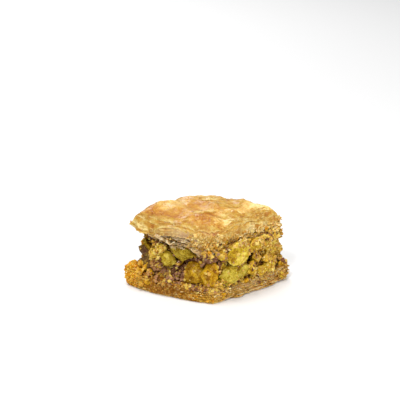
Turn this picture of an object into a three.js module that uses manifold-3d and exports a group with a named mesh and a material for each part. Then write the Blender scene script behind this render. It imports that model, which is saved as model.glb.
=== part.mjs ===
// A diamond-cut piece of pistachio baklava, in millimetres, +Z up. It rests on z = 0 with its
// long diagonal along X and its short one along Y. Three solids lie on each other: a dense
// pastry base soaked in syrup, a band of chopped pistachios, and a domed lid of thin leaves.

import * as THREE from "three";
import { mergeVertices } from "three/addons/utils/BufferGeometryUtils.js";
import Module from "manifold-3d";

const wasm = await Module();
wasm.setup();

// Driving dimensions of the whole piece.
const HALF_LENGTH = 34; // centre to the left and right corners of the base
const HALF_WIDTH = 26.5; // centre to the front and back corners of the base
const BASE_HEIGHT = 6.5; // upper face of the base
const FILLING_TOP = 22.5; // underside of the lid
const LID_EDGE = 27; // upper edge of the lid, at its rim
const CROWN = 34; // highest point of the lid
const GAP = 0.3; // clearance between neighbouring layers
const HIDDEN_RINGS = [0.5, 0.74, 0.88]; // reach of the rings across a face that is covered

const AROUND = 100; // points in each ring of a pastry layer
const TURN = Math.PI * 2;
const WELD = 1e-4; // points closer than this are one

// A smooth swelling of 1 at (x, y) = (atX, atY), which fades out over about twice its spread.
const swell = (x, y, atX, atY, spread) =>
  Math.exp(-((x - atX) ** 2 + (y - atY) ** 2) / spread ** 2);

// What a list of swellings adds to a height. Each gives its place, its spread and its rise.
const swellings = (list, x, y) =>
  list.reduce((sum, s) => sum + s.rise * swell(x, y, s.x, s.y, s.spread), 0);

// ---- The cut outline of a layer ----

// A diamond with rounded corners. Power 1 is a sharp diamond, and 2 an ellipse.
// No cut is quite straight, so waves of three lengths run along it, uneven millimetres deep.
const OUTLINE_STEPS = 360;
const CUT_WAVES = [
  { times: 3, depth: 1 },
  { times: 7, depth: 0.7 },
  { times: 13, depth: 0.5 },
];

function cutOutline(cut, points = AROUND) {
  const { halfLength, halfWidth, centreX, power, uneven, phase } = cut;
  const line = [];
  for (let i = 0; i < OUTLINE_STEPS; i++) {
    const angle = (i / OUTLINE_STEPS) * TURN;
    const across = Math.abs(Math.cos(angle) / halfLength) ** power;
    const along = Math.abs(Math.sin(angle) / halfWidth) ** power;
    const wobble = CUT_WAVES.reduce(
      (sum, wave, k) => sum + wave.depth * Math.sin(wave.times * angle + (k + 1) * phase),
      0,
    );
    const reach = (across + along) ** (-1 / power) + uneven * wobble;
    const x = centreX + reach * Math.cos(angle);
    line.push(new THREE.Vector3(x, reach * Math.sin(angle), 0));
  }
  const curve = new THREE.CatmullRomCurve3(line, true);
  curve.arcLengthDivisions = OUTLINE_STEPS * 2;
  return curve.getSpacedPoints(points).slice(0, points);
}

// One ring of points: the outline scaled about its centre, with a height for each point.
function ring(outline, centreX, scaleAt, heightAt) {
  return outline.map((p, i) => {
    const turn = i / outline.length;
    const scale = scaleAt(turn);
    const x = centreX + (p.x - centreX) * scale;
    const y = p.y * scale;
    return new THREE.Vector3(x, y, heightAt(x, y, turn));
  });
}

// A closed solid through rings that run from its lower pole, out, up and in to its upper pole.
function loft(lowerPole, rings, upperPole) {
  const around = rings[0].length;
  const position = [lowerPole, ...rings.flat(), upperPole].flatMap((p) => [...p]);
  const last = 1 + rings.length * around;
  const index = [];
  for (let i = 0; i < around; i++) {
    const next = (i + 1) % around;
    index.push(0, 1 + next, 1 + i);
    for (let r = 0; r + 1 < rings.length; r++) {
      const low = 1 + r * around;
      const high = low + around;
      index.push(low + i, low + next, high + next);
      index.push(low + i, high + next, high + i);
    }
    index.push(last, last - around + i, last - around + next);
  }
  return new THREE.BufferGeometry()
    .setAttribute("position", new THREE.Float32BufferAttribute(position, 3))
    .setIndex(index);
}

// ---- Boolean joins and cuts ----

function solidOf(geometry) {
  const bare = geometry.clone();
  bare.deleteAttribute("normal");
  bare.deleteAttribute("uv");
  const merged = mergeVertices(bare, WELD);
  return new wasm.Manifold(
    new wasm.Mesh({
      numProp: 3,
      vertProperties: merged.getAttribute("position").array,
      triVerts: new Uint32Array(merged.getIndex().array),
    }),
  );
}

function geometryOf(solid) {
  const { vertProperties, triVerts } = solid.getMesh();
  return new THREE.BufferGeometry()
    .setAttribute("position", new THREE.BufferAttribute(vertProperties, 3))
    .setIndex(new THREE.BufferAttribute(triVerts, 1));
}

// ---- The faces where the layers meet ----

// The base is pressed flat, but for a lump of syrup and crumbs that has set on its left corner.
const BASE_WAVE = 0.4;
const BASE_SWELLINGS = [{ x: -HALF_LENGTH + 3, y: -1, spread: 6, rise: 2.6 }];

const baseTop = (x, y) =>
  BASE_HEIGHT +
  BASE_WAVE * Math.sin(x / 5 + 1) * Math.cos(y / 6) +
  swellings(BASE_SWELLINGS, x, y);

// 0 over the middle of the piece, rising to 1 at its cut sides.
const rimness = (x, y) =>
  THREE.MathUtils.smoothstep(Math.abs(x) / HALF_LENGTH + Math.abs(y) / HALF_WIDTH, 0.7, 1);

// The lid lifts off the filling at the left corner, and its leaves droop at the right one. At the
// front corner they are crushed down, and the tall nuts to the right of it hold the lid up.
const UNDER_WAVE = 0.45;
const RIM_WAVE = 0.3;
const UNDER_SWELLINGS = [
  { x: -HALF_LENGTH, y: 0, spread: 9, rise: 2 },
  { x: HALF_LENGTH, y: 0, spread: 9, rise: -4.5 },
  { x: -4, y: -23, spread: 6.5, rise: -3 },
  { x: 13, y: -18, spread: 8, rise: 1.6 },
];

const lidUnder = (x, y) =>
  FILLING_TOP +
  UNDER_WAVE * Math.sin(x / 6) * Math.cos(y / 7 + 1) +
  RIM_WAVE * Math.sin(x / 2.3 - y / 3) * rimness(x, y) +
  swellings(UNDER_SWELLINGS, x, y);

// ---- Base: pastry leaves pressed into one dense slab ----

const BASE_LEAVES = 4;
const BASE_NOTCH = 0.014; // depth of the groove between two leaves, as a share of the reach
const BASE_RAGGED = 0.006; // how far the edge of a leaf wanders, as a share of the reach
const BASE_FOOT = 0.965; // reach of the underside
const BASE_SHOULDER = 0.97; // reach of the rim of the upper face
const BASE_CENTRE = -0.5;
const BASE_CUT = {
  halfLength: HALF_LENGTH,
  halfWidth: HALF_WIDTH,
  centreX: BASE_CENTRE,
  power: 1.22,
  uneven: 0.22,
  phase: 0.8,
};

function makeBase() {
  const outline = cutOutline(BASE_CUT);
  const layerAt = (scaleAt, heightAt) => ring(outline, BASE_CENTRE, scaleAt, heightAt);
  const rings = [layerAt(() => BASE_FOOT, () => 0)];
  for (let leaf = 0; leaf < BASE_LEAVES; leaf++) {
    const ragged = (turn) => 1 + BASE_RAGGED * Math.sin(TURN * turn * (9 + 4 * leaf) + leaf);
    const groove = (turn) =>
      1 - BASE_NOTCH * (1 + 0.7 * Math.sin(TURN * turn * (6 + leaf) + 3 * leaf));
    rings.push(layerAt(ragged, (x, y) => (baseTop(x, y) * (leaf + 0.5)) / BASE_LEAVES));
    if (leaf + 1 < BASE_LEAVES) {
      rings.push(layerAt(groove, (x, y) => (baseTop(x, y) * (leaf + 1)) / BASE_LEAVES));
    }
  }
  for (const scale of [BASE_SHOULDER, ...HIDDEN_RINGS.toReversed()]) {
    rings.push(layerAt(() => scale, baseTop));
  }
  const lowerPole = new THREE.Vector3(BASE_CENTRE, 0, 0);
  const upperPole = new THREE.Vector3(BASE_CENTRE, 0, baseTop(BASE_CENTRE, 0));
  return loft(lowerPole, rings, upperPole);
}

// ---- Lid: crisp leaves, blistered on top and open at the cut sides ----

const LID_LEAVES = 5;
const LID_NOTCH = 0.04; // depth of the gap between two leaves, as a share of the reach
const LOWEST_REACH = 0.968; // the upper leaves reach further out than the lowest one
const REACH_STEP = 0.008;
const LEAF_RAGGED = 0.012;
const LEAF_FRAYED = 0.009;
const LEAF_WAVE = 0.12;
const TOP_RINGS = [0.975, 0.94, 0.89, 0.82, 0.73, 0.61, 0.46, 0.3, 0.14];
const LID_CENTRE = -1; // the lid has slid a little to the left
const LID_CUT = {
  halfLength: 32.2,
  halfWidth: 25.6,
  centreX: LID_CENTRE,
  power: 1.14,
  uneven: 0.28,
  phase: 2.3,
};
const PILLOW = 5; // 2 is a plain dome, and more is flatter on top and steeper at the rim
const BLISTER_ROOM = 1; // what the blisters add to the dome below the crown
const FLUSH_RIM = 8; // a high power, which keeps the relief off the rim alone

// The lid is blown up behind its left corner.
const LEFT_PUFFS = [
  { x: -21, y: 6, spread: 9, rise: 1.6 },
  { x: -24.5, y: 6, spread: 5.5, rise: 2.2 },
];

// The rim stands up at the left and right corners, and hangs along the two front sides.
const EDGE_WAVE = 0.35;
const EDGE_SWELLINGS = [
  { x: -HALF_LENGTH, y: 0, spread: 10, rise: 0.7 },
  { x: HALF_LENGTH, y: 0, spread: 9, rise: 1.2 },
  { x: -1, y: -HALF_WIDTH, spread: 11, rise: -3 },
  { x: -24, y: -10, spread: 8, rise: -2 },
  { x: 19, y: -11, spread: 11, rise: -1.2 },
];

const lidEdge = (x, y) =>
  LID_EDGE +
  EDGE_WAVE * Math.sin(x / 2.6 + y / 3.4) +
  swellings(EDGE_SWELLINGS, x, y);

// Blisters that the heat has raised, spread by the golden angle over the middle of the lid.
const BLISTERS = 13;
const BLISTERED_LENGTH = 22;
const BLISTERED_WIDTH = 16.5;
const GOLDEN_ANGLE = Math.PI * (3 - Math.sqrt(5));

const BLISTER_SWELLINGS = Array.from({ length: BLISTERS }, (_, i) => {
  const out = Math.sqrt((i + 0.5) / BLISTERS);
  return {
    x: LID_CENTRE + out * BLISTERED_LENGTH * Math.cos(i * GOLDEN_ANGLE),
    y: out * BLISTERED_WIDTH * Math.sin(i * GOLDEN_ANGLE),
    spread: 3.2 + 1.6 * Math.sin(i * 2.4),
    rise: 0.7 + 0.5 * Math.cos(i * 1.7),
  };
});

// share runs from 0 at the centre to 1 at the rim.
function lidTop(x, y, share) {
  const dome = (CROWN - BLISTER_ROOM - LID_EDGE) * (1 - share ** PILLOW);
  const relief = swellings([...BLISTER_SWELLINGS, ...LEFT_PUFFS], x, y);
  return lidEdge(x, y) + dome + relief * (1 - share ** FLUSH_RIM);
}

function makeLid() {
  const outline = cutOutline(LID_CUT);
  const layerAt = (scaleAt, heightAt) => ring(outline, LID_CENTRE, scaleAt, heightAt);
  const rings = HIDDEN_RINGS.map((scale) => layerAt(() => scale, lidUnder));
  for (let leaf = 0; leaf < LID_LEAVES; leaf++) {
    const proud = LOWEST_REACH + REACH_STEP * leaf;
    const ragged = (turn) =>
      proud +
      LEAF_RAGGED * Math.sin(TURN * turn * (11 + 3 * leaf) + 2 * leaf) +
      LEAF_FRAYED * Math.sin(TURN * turn * (23 + 5 * leaf));
    const heightAt = (share, wave) => (x, y, turn) =>
      lidUnder(x, y) +
      (lidEdge(x, y) - lidUnder(x, y)) * share +
      wave * Math.sin(TURN * turn * (7 + 2 * leaf) + leaf);
    if (leaf > 0) {
      const inner = () => proud - LID_NOTCH;
      rings.push(layerAt(inner, heightAt(leaf / LID_LEAVES, 0)));
    }
    rings.push(layerAt(ragged, heightAt((leaf + 0.5) / LID_LEAVES, LEAF_WAVE)));
  }
  for (const share of TOP_RINGS) {
    const scale = () => share;
    rings.push(layerAt(scale, (x, y) => lidTop(x, y, share)));
  }
  const lowerPole = new THREE.Vector3(LID_CENTRE, 0, lidUnder(LID_CENTRE, 0));
  const upperPole = new THREE.Vector3(LID_CENTRE, 0, lidTop(LID_CENTRE, 0, 0));
  return loft(lowerPole, rings, upperPole);
}

// ---- Filling: ground pistachio with the chopped pieces that show fused on ----

const CORE_CENTRE = 2; // the filling stands back from the left corner
const CORE_CUT = {
  halfLength: 30.2,
  halfWidth: 25,
  centreX: CORE_CENTRE,
  power: 1.2,
  uneven: 0.3,
  phase: 4.1,
};
const CORE_AROUND = 64;
const CORE_ROWS = 4;
const CORE_REACH = 0.975; // the paste stands a little behind the chopped pieces
const CORE_LUMPS = 0.016;
const CORE_CLUMPS = 0.012;

// At the right corner the top of the filling is crushed inwards.
const CRUSHED_IN = 2.6;
const CRUSHED_SPREAD = 0.05; // as a share of the way round
const CRUSHED_FROM = 9; // height where it starts
const CRUSHED_FULLY = 19;

function crushedIn(turn, z) {
  const apart = Math.min(turn, 1 - turn) / CRUSHED_SPREAD;
  const raised = THREE.MathUtils.smoothstep(z, CRUSHED_FROM, CRUSHED_FULLY);
  return CRUSHED_IN * Math.exp(-(apart ** 2)) * raised;
}

const roomFloor = (x, y) => baseTop(x, y) + GAP;
const roomCeiling = (x, y) => lidUnder(x, y) - GAP;

function makeCore(outline) {
  const layerAt = (scaleAt, heightAt) => ring(outline, CORE_CENTRE, scaleAt, heightAt);
  const rings = HIDDEN_RINGS.map((scale) => layerAt(() => scale, roomFloor));
  for (let row = 0; row < CORE_ROWS; row++) {
    const share = row / (CORE_ROWS - 1);
    const height = BASE_HEIGHT + (FILLING_TOP - BASE_HEIGHT) * share;
    const lumps = (turn) =>
      CORE_REACH -
      crushedIn(turn, height) / CORE_CUT.halfLength +
      CORE_LUMPS * Math.sin(TURN * turn * 19 + 2.6 * row) +
      CORE_CLUMPS * Math.sin(TURN * turn * 11 + 4.1 * row);
    const heightAt = (x, y) =>
      roomFloor(x, y) + (roomCeiling(x, y) - roomFloor(x, y)) * share;
    rings.push(layerAt(lumps, heightAt));
  }
  for (const scale of HIDDEN_RINGS.toReversed()) {
    rings.push(layerAt(() => scale, roomCeiling));
  }
  const lowerPole = new THREE.Vector3(CORE_CENTRE, 0, roomFloor(CORE_CENTRE, 0));
  const upperPole = new THREE.Vector3(CORE_CENTRE, 0, roomCeiling(CORE_CENTRE, 0));
  return loft(lowerPole, rings, upperPole);
}

// A repeatable random draw from 0 to 1, by a linear congruential generator.
const DRAW_TIMES = 1664525;
const DRAW_PLUS = 1013904223;
const DRAW_RANGE = 2 ** 32;
let drawState = 20;

function draw() {
  drawState = (drawState * DRAW_TIMES + DRAW_PLUS) % DRAW_RANGE;
  return drawState / DRAW_RANGE;
}

// The large pieces on the two front sides. around is the place along the cut: 0.5 is the left
// corner, 0.75 the front one and 1 the right one. up is the height of the middle, long and tall
// are the size, and tilt is the slope of the long side in degrees.
const LARGE_PIECES = [
  { around: 0.584, up: 19.2, long: 5.5, tall: 5, tilt: 20 },
  { around: 0.562, up: 15.8, long: 4.5, tall: 4.5, tilt: 60 },
  { around: 0.567, up: 11.6, long: 5.5, tall: 4, tilt: 0 },
  { around: 0.605, up: 14.8, long: 7.2, tall: 4.6, tilt: -35 },
  { around: 0.65, up: 19.4, long: 11, tall: 5.4, tilt: -33 },
  { around: 0.631, up: 8.8, long: 5.6, tall: 4.2, tilt: 0 },
  { around: 0.687, up: 11.8, long: 9, tall: 8.4, tilt: 20 },
  { around: 0.729, up: 12, long: 6.6, tall: 10.5, tilt: -8 },
  { around: 0.728, up: 19, long: 5.2, tall: 4.4, tilt: 0 },
  { around: 0.811, up: 20.8, long: 11, tall: 9.5, tilt: 50 },
  { around: 0.8, up: 11.4, long: 11, tall: 8.6, tilt: 15 },
  { around: 0.763, up: 20.2, long: 5, tall: 5, tilt: 30 },
  { around: 0.868, up: 21, long: 7.4, tall: 6.4, tilt: -20 },
  { around: 0.935, up: 17.8, long: 6.6, tall: 6, tilt: 15 },
  { around: 0.851, up: 12, long: 4.8, tall: 6, tilt: 0 },
  { around: 0.908, up: 13.6, long: 5, tall: 4.4, tilt: 30 },
  { around: 0.949, up: 11.8, long: 5, tall: 4.6, tilt: 0 },
  { around: 0.892, up: 8.8, long: 5, tall: 4, tilt: 0 },
];

// Sizes of the other pieces, the largest first, with how many draws each size gets.
const CHOPPED_SIZES = [
  { long: 8.5, draws: 60 },
  { long: 6, draws: 140 },
  { long: 4.2, draws: 400 },
];
const CLOSEST = 0.44; // least distance between two pieces, as a share of their mean sizes
const LOWEST = BASE_HEIGHT + 1.5; // the middles of the other pieces lie between these heights
const HIGHEST = FILLING_TOP - 1.5;

// Where every chopped piece lies. A draw that comes too near an earlier piece is skipped.
function chopPlaces(perimeter) {
  const places = LARGE_PIECES.map((piece) => ({ ...piece }));
  for (const { long, draws } of CHOPPED_SIZES) {
    for (let i = 0; i < draws; i++) {
      const around = draw();
      const up = LOWEST + draw() * (HIGHEST - LOWEST);
      const size = long * (0.85 + 0.3 * draw());
      const tall = size * (0.65 + 0.2 * draw());
      const tilt = 180 * draw();
      const clear = places.every((other) => {
        const turn = Math.abs(other.around - around);
        const apart = Math.min(turn, 1 - turn) * perimeter;
        const span = (other.long + other.tall + size + tall) / 2;
        return Math.hypot(apart, other.up - up) > CLOSEST * span;
      });
      if (clear) places.push({ around, up, long: size, tall, tilt });
    }
  }
  return places;
}

// One chopped piece with a few flat faces and blunt corners, half sunk in the core.
const CHOP_THICK = 5; // at most
const CHOP_UNEVEN = 0.25;
const PRESSED = 0.05; // the pieces end this far inside the room for the filling

function makeChopped(place, outline) {
  const shape = new THREE.IcosahedronGeometry(0.5, 0);
  shape.deleteAttribute("normal").deleteAttribute("uv");
  const chopped = mergeVertices(shape, WELD);
  const corners = chopped.getAttribute("position");
  const corner = new THREE.Vector3();
  for (let i = 0; i < corners.count; i++) {
    corner.fromBufferAttribute(corners, i);
    corner.multiplyScalar(1 + CHOP_UNEVEN * (draw() - 0.5));
    corners.setXYZ(i, ...corner);
  }
  const at = place.around * outline.length;
  const before = outline[Math.floor(at) % outline.length];
  const after = outline[(Math.floor(at) + 1) % outline.length];
  const spot = before.clone().lerp(after, at % 1);
  const facing = Math.atan2(before.x - after.x, after.y - before.y);
  const back = crushedIn(place.around, place.up);
  spot.x -= back * Math.cos(facing);
  spot.y -= back * Math.sin(facing);
  const tilt = THREE.MathUtils.degToRad(place.tilt);
  const thick = Math.min(place.tall, CHOP_THICK);
  chopped.applyMatrix4(new THREE.Matrix4().makeScale(thick, place.long, place.tall));
  chopped.applyMatrix4(new THREE.Matrix4().makeRotationX(tilt));
  chopped.applyMatrix4(new THREE.Matrix4().makeRotationZ(facing));
  chopped.applyMatrix4(new THREE.Matrix4().makeTranslation(spot.x, spot.y, place.up));
  for (let i = 0; i < corners.count; i++) {
    corner.fromBufferAttribute(corners, i);
    const low = roomFloor(corner.x, corner.y) + PRESSED;
    const high = roomCeiling(corner.x, corner.y) - PRESSED;
    corners.setZ(i, THREE.MathUtils.clamp(corner.z, low, high));
  }
  return chopped;
}

function makeFilling() {
  const outline = cutOutline(CORE_CUT, CORE_AROUND);
  const perimeter = outline.reduce(
    (sum, p, i) => sum + p.distanceTo(outline[(i + 1) % outline.length]),
    0,
  );
  const places = chopPlaces(perimeter);
  const chopped = places.map((place) => solidOf(makeChopped(place, outline)));
  const joined = wasm.Manifold.union([solidOf(makeCore(outline)), ...chopped]);
  return geometryOf(joined);
}

// ---- The whole piece ----

function layer(name, geometry, colour, roughness) {
  const material = new THREE.MeshStandardMaterial({
    color: colour,
    roughness,
    metalness: 0,
    flatShading: true,
  });
  const mesh = new THREE.Mesh(geometry, material);
  mesh.name = name;
  return mesh;
}

const baklava = new THREE.Group();
baklava.add(
  layer("pastry_base", makeBase(), "#b4813a", 0.35),
  layer("pistachio_filling", makeFilling(), "#b5972f", 0.6),
  layer("pastry_lid", makeLid(), "#e0b06a", 0.4),
);

export default baklava;
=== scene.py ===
import math
import random

import bpy
import numpy as np
from mathutils import Euler, Matrix, Vector, noise
from mathutils.bvhtree import BVHTree


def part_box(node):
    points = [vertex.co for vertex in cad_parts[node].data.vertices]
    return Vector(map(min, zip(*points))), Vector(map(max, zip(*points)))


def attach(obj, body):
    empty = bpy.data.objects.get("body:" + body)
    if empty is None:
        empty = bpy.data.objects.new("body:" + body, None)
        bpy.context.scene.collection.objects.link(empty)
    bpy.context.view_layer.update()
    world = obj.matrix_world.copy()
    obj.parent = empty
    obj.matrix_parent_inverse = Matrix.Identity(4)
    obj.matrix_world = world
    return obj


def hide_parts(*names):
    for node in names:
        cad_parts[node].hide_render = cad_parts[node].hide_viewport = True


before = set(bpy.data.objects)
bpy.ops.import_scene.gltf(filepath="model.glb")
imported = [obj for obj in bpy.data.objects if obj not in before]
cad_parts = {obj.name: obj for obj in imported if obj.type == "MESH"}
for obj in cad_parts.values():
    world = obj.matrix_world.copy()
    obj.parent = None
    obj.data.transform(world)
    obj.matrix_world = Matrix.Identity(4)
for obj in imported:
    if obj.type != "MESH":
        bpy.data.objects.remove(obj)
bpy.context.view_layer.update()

# ---------------------------------------------------------------------------
# Base slab. A dozen or so sheets of thin pastry, brushed with butter and pressed together by
# the filling. The syrup soaks down into them, so they set as one dense, grainy, amber slab
# whose cut sides show only faint lines of leaf.

MM = 0.001  # every size in this file is in millimetres
TURN = 2 * math.pi

base_low, base_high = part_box("pastry_base")
half_length = (base_high.x - base_low.x) / 2 / MM
half_width = (base_high.y - base_low.y) / 2 / MM
BASE_HEIGHT = 6.5
BASE_CENTRE = -0.5
BASE_FOOT = 0.965  # reach of the underside, as a share of the cut's
BASE_WAVE = 0.4
BASE_SWELLINGS = [(-half_length + 3, -1, 6, 2.6)]  # x, y, spread and rise of each
LEAF_SPACING = 0.95
OUTLINE_STEPS = 1440
NEIGHBOUR = 0.004  # a short way round the cut, as a share of a turn
SIDE_ROWS = 26


def swell(x, y, at_x, at_y, spread):
    """A smooth swelling of 1 at one spot, which fades out over about twice its spread."""
    return np.exp(-((x - at_x) ** 2 + (y - at_y) ** 2) / spread**2)


def swellings(listed, x, y):
    """What a list of swellings, each its x, y, spread and rise, adds up to."""
    return sum(rise * swell(x, y, *place) for *place, rise in listed)


def fade(value, start, end):
    """0 up to start, 1 from end, and smooth between them."""
    share = np.clip((value - start) / (end - start), 0, 1)
    return share * share * (3 - 2 * share)


def unevenness(x, y, z, size, seed, octaves=3):
    """Soft irregularities of about the given size, from -1 to 1."""
    spots = zip(x / size + seed, y / size, z / size)
    return np.array([noise.fractal(spot, 1.0, 2.0, octaves) for spot in spots])


def patches(x, y, size, seed, octaves=3):
    """The same seen from above, alike at all heights."""
    return unevenness(x, y, 0 * x, size, seed, octaves)


def crumb_relief(x, y, z, size, seed):
    """Crumbs packed side by side: their height, 1 on top and 0 in the cracks, and a tint each."""
    height = []
    tint = []
    for spot in zip(x / size + seed, y / size, z / size):
        distance, centre = noise.voronoi(spot)
        height.append(min(1.6 * (distance[1] - distance[0]), 1) ** 0.5)
        tint.append(noise.cell(centre[0] * 9.7) * 0.5 + 0.5)
    return np.array(height), np.array(tint)


def cut_outline(half_long, half_short, centre, power, uneven, phase):
    """The diamond that the knife cuts, with rounded corners, walked round from its right one."""
    angle = np.linspace(0, TURN, OUTLINE_STEPS + 1)
    across = np.abs(np.cos(angle) / half_long) ** power
    along = np.abs(np.sin(angle) / half_short) ** power
    wobble = np.sin(3 * angle + phase)
    wobble = wobble + 0.7 * np.sin(7 * angle + 2 * phase)
    wobble = wobble + 0.5 * np.sin(13 * angle + 3 * phase)
    reach = (across + along) ** (-1 / power) + uneven * wobble
    x = centre + reach * np.cos(angle)
    y = reach * np.sin(angle)
    walked = np.append(0, np.cumsum(np.hypot(np.diff(x), np.diff(y))))
    return {"x": x, "y": y, "turn": walked / walked[-1], "length": walked[-1], "centre": centre}


def on_cut(cut, turn, share=1.0):
    """The place at a turn from 0 to 1 round the cut, and a share of the way out to it."""
    x = np.interp(turn % 1, cut["turn"], cut["x"])
    y = np.interp(turn % 1, cut["turn"], cut["y"])
    return cut["centre"] + (x - cut["centre"]) * share, y * share


def outward(cut, turn):
    """The direction that the cut side faces at a turn."""
    before = on_cut(cut, turn - NEIGHBOUR)
    after = on_cut(cut, turn + NEIGHBOUR)
    along_x = after[0] - before[0]
    along_y = after[1] - before[1]
    size = np.hypot(along_x, along_y)
    return along_y / size, -along_x / size


def pushed(cut, turn, x, y, amount):
    """Places moved straight out from the cut side, or in where the amount is below 0."""
    out_x, out_y = outward(cut, turn)
    return x + amount * out_x, y + amount * out_y


def near(turn, at, spread):
    """1 at a turn round the cut, fading out on both sides of it."""
    apart = np.abs((turn - at + 0.5) % 1 - 0.5)
    return np.exp(-((apart / spread) ** 2))


def points_of(piece):
    flat = np.empty(len(piece.data.vertices) * 3, np.float32)
    piece.data.vertices.foreach_get("co", flat)
    return flat.reshape(-1, 3).astype(float).T


def move_points(piece, x, y, z):
    flat = np.column_stack([x, y, z]).astype(np.float32) * MM
    piece.data.vertices.foreach_set("co", flat.ravel())
    piece.data.update()


def note(piece, **named_values):
    """Writes numbers for each point under a name, which the piece's material reads."""
    for name, values in named_values.items():
        layer = piece.data.attributes.new(name, "FLOAT", "POINT")
        layer.data.foreach_set("value", np.asarray(values, np.float32))


def flat_sheet(name, columns, rows, size=2):
    bpy.ops.mesh.primitive_grid_add(x_subdivisions=columns, y_subdivisions=rows, size=size)
    bpy.context.object.name = name
    return bpy.context.object


def wrapped_sheet(name, around, *profiles):
    """A sheet to be wrapped round the piece. Also the turn of each point, and the value there of
    each profile, which is a list that runs from the sheet's start to its end."""
    levels = len(profiles[0]) - 1
    piece = flat_sheet(name, around, levels)
    x, y, _ = points_of(piece)
    turn = np.rint((x + 1) / 2 * around) / around % 1
    level = np.rint((y + 1) / 2 * levels).astype(int)
    return piece, turn, *(np.array(profile)[level] for profile in profiles)


def take(*pieces):
    """Selects the pieces that the next operator works on."""
    bpy.ops.object.select_all(action="DESELECT")
    for piece in pieces:
        piece.select_set(True)
    bpy.context.view_layer.objects.active = pieces[0]


def close_up(piece):
    """Welds the seam and the two ends of a wrapped sheet, and faces it outwards."""
    take(piece)
    bpy.ops.object.mode_set(mode="EDIT")
    bpy.ops.mesh.select_all(action="SELECT")
    bpy.ops.mesh.remove_doubles(threshold=0.0001 * MM)
    bpy.ops.mesh.normals_make_consistent(inside=False)
    bpy.ops.object.mode_set(mode="OBJECT")


def finish_piece(piece, finish, slot, *nodes, smooth=50):
    """Gives a piece its finish and its place on the part."""
    take(piece)
    bpy.ops.object.shade_smooth_by_angle(angle=math.radians(smooth))
    piece.data.materials.clear()
    piece.data.materials.append(finish.material)
    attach(piece, "root")
    if nodes:
        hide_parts(*nodes)


def foot_lift(turn):
    """How far the lowest sheets have curled up off the table along the right side."""
    return 1.0 * fade(turn, 0.755, 0.81) * fade(turn, 1.0, 0.95)


def base_top(x, y):
    waves = BASE_WAVE * np.sin(x / 5 + 1) * np.cos(y / 6)
    return BASE_HEIGHT + waves + swellings(BASE_SWELLINGS, x, y)


def caramel_share(turn, x, y, z):
    """Where the syrup has run together and set to caramel: the left corner and the front foot."""
    front = near(turn, 0.733, 0.045) * fade(z, 5, 2.5)
    return np.minimum(swell(x, y, -half_length + 2, -2, 9) + front, 1)


base_cut = cut_outline(half_length, half_width, BASE_CENTRE, 1.22, 0.22, 0.8)

# The sheet runs from the middle of the top, over the edge, down the side and in underneath.
top_shares = [0, 0.4, 0.62, 0.72, 0.79, 0.84, 0.87, 0.895, 0.915, 0.93, 0.945, 0.96, 0.972, 0.985]
under_shares = [0.975, 0.96, 0.9, 0.7, 0.4, 0]
side_lifts = [1 - (row + 0.5) / SIDE_ROWS for row in range(SIDE_ROWS)]
base_shares = top_shares + [1] * SIDE_ROWS + under_shares
base_lifts = [1] * len(top_shares) + side_lifts + [0] * len(under_shares)

slab, turn, share, lift = wrapped_sheet("soaked_base", 900, base_shares, base_lifts)
x, y = on_cut(base_cut, turn, share)
raised = foot_lift(turn) * fade(share, 0.85, 0.97)
z = raised + (base_top(x, y) - raised) * lift
out_x, out_y = outward(base_cut, turn)
undercut = (1 - BASE_FOOT) * np.exp(-z / 0.5) * (lift > 0) * 0.7
side = fade(share, 0.94, 0.99) * (lift > 0)
grains, grain_tint = crumb_relief(x, y, z, 1.5, 3)
fine_grains, fine_tint = crumb_relief(x, y, z, 0.75, 8)
lumps = unevenness(x, y, z, 4.5, 11)
leaf_lines = np.sin(TURN * (z / LEAF_SPACING + 0.8 * unevenness(x, y, z, 9, 21, 2)))
smeared = near(turn, 0.88, 0.12) + near(turn, 0.3, 0.1)
leafy = fade(unevenness(x, y, z, 8, 31, 2) + 0.8 * smeared, -0.1, 0.5)
grainy = 1 - 0.6 * np.clip(smeared, 0, 1)
tucked = 1.3 * foot_lift(turn) * np.exp(-(z - raised) / 2.5)
spread_out = 1.1 * near(turn, 0.59, 0.08) * np.exp(-z / 3)
push = spread_out - tucked + 0.45 * lumps + grainy * (0.4 * (grains - 0.6) + 0.2 * (fine_grains - 0.6))
push = push + 0.26 * leaf_lines * leafy
foot = np.clip(z / 0.6, 0.3, 1)
x = x - undercut * (x - BASE_CENTRE) + side * push * out_x * foot
y = y - undercut * y + side * push * out_y * foot
ledge = fade(share, 0.7, 0.85) * (lift == 1)
z = z + ledge * (0.35 * (grains - 0.5) + 0.2 * (fine_grains - 0.5) + 0.25 * lumps)
corner = fade(share, 0.955, 1) * (lift > 0.85)
z = np.maximum(z - (0.7 + 0.8 * patches(x, y, 3.5, 17, 2)) * corner, 0)
move_points(slab, x, y, z)
note(
    slab,
    tint=0.6 * grain_tint + 0.4 * fine_tint,
    crack=1 - (0.6 * grains + 0.4 * fine_grains),
    caramel=caramel_share(turn, x, y, z),
    pale=(0.35 + 0.65 * leaf_lines) * leafy * side + 1.0 * near(turn, 0.88, 0.1),
)
close_up(slab)


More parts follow.
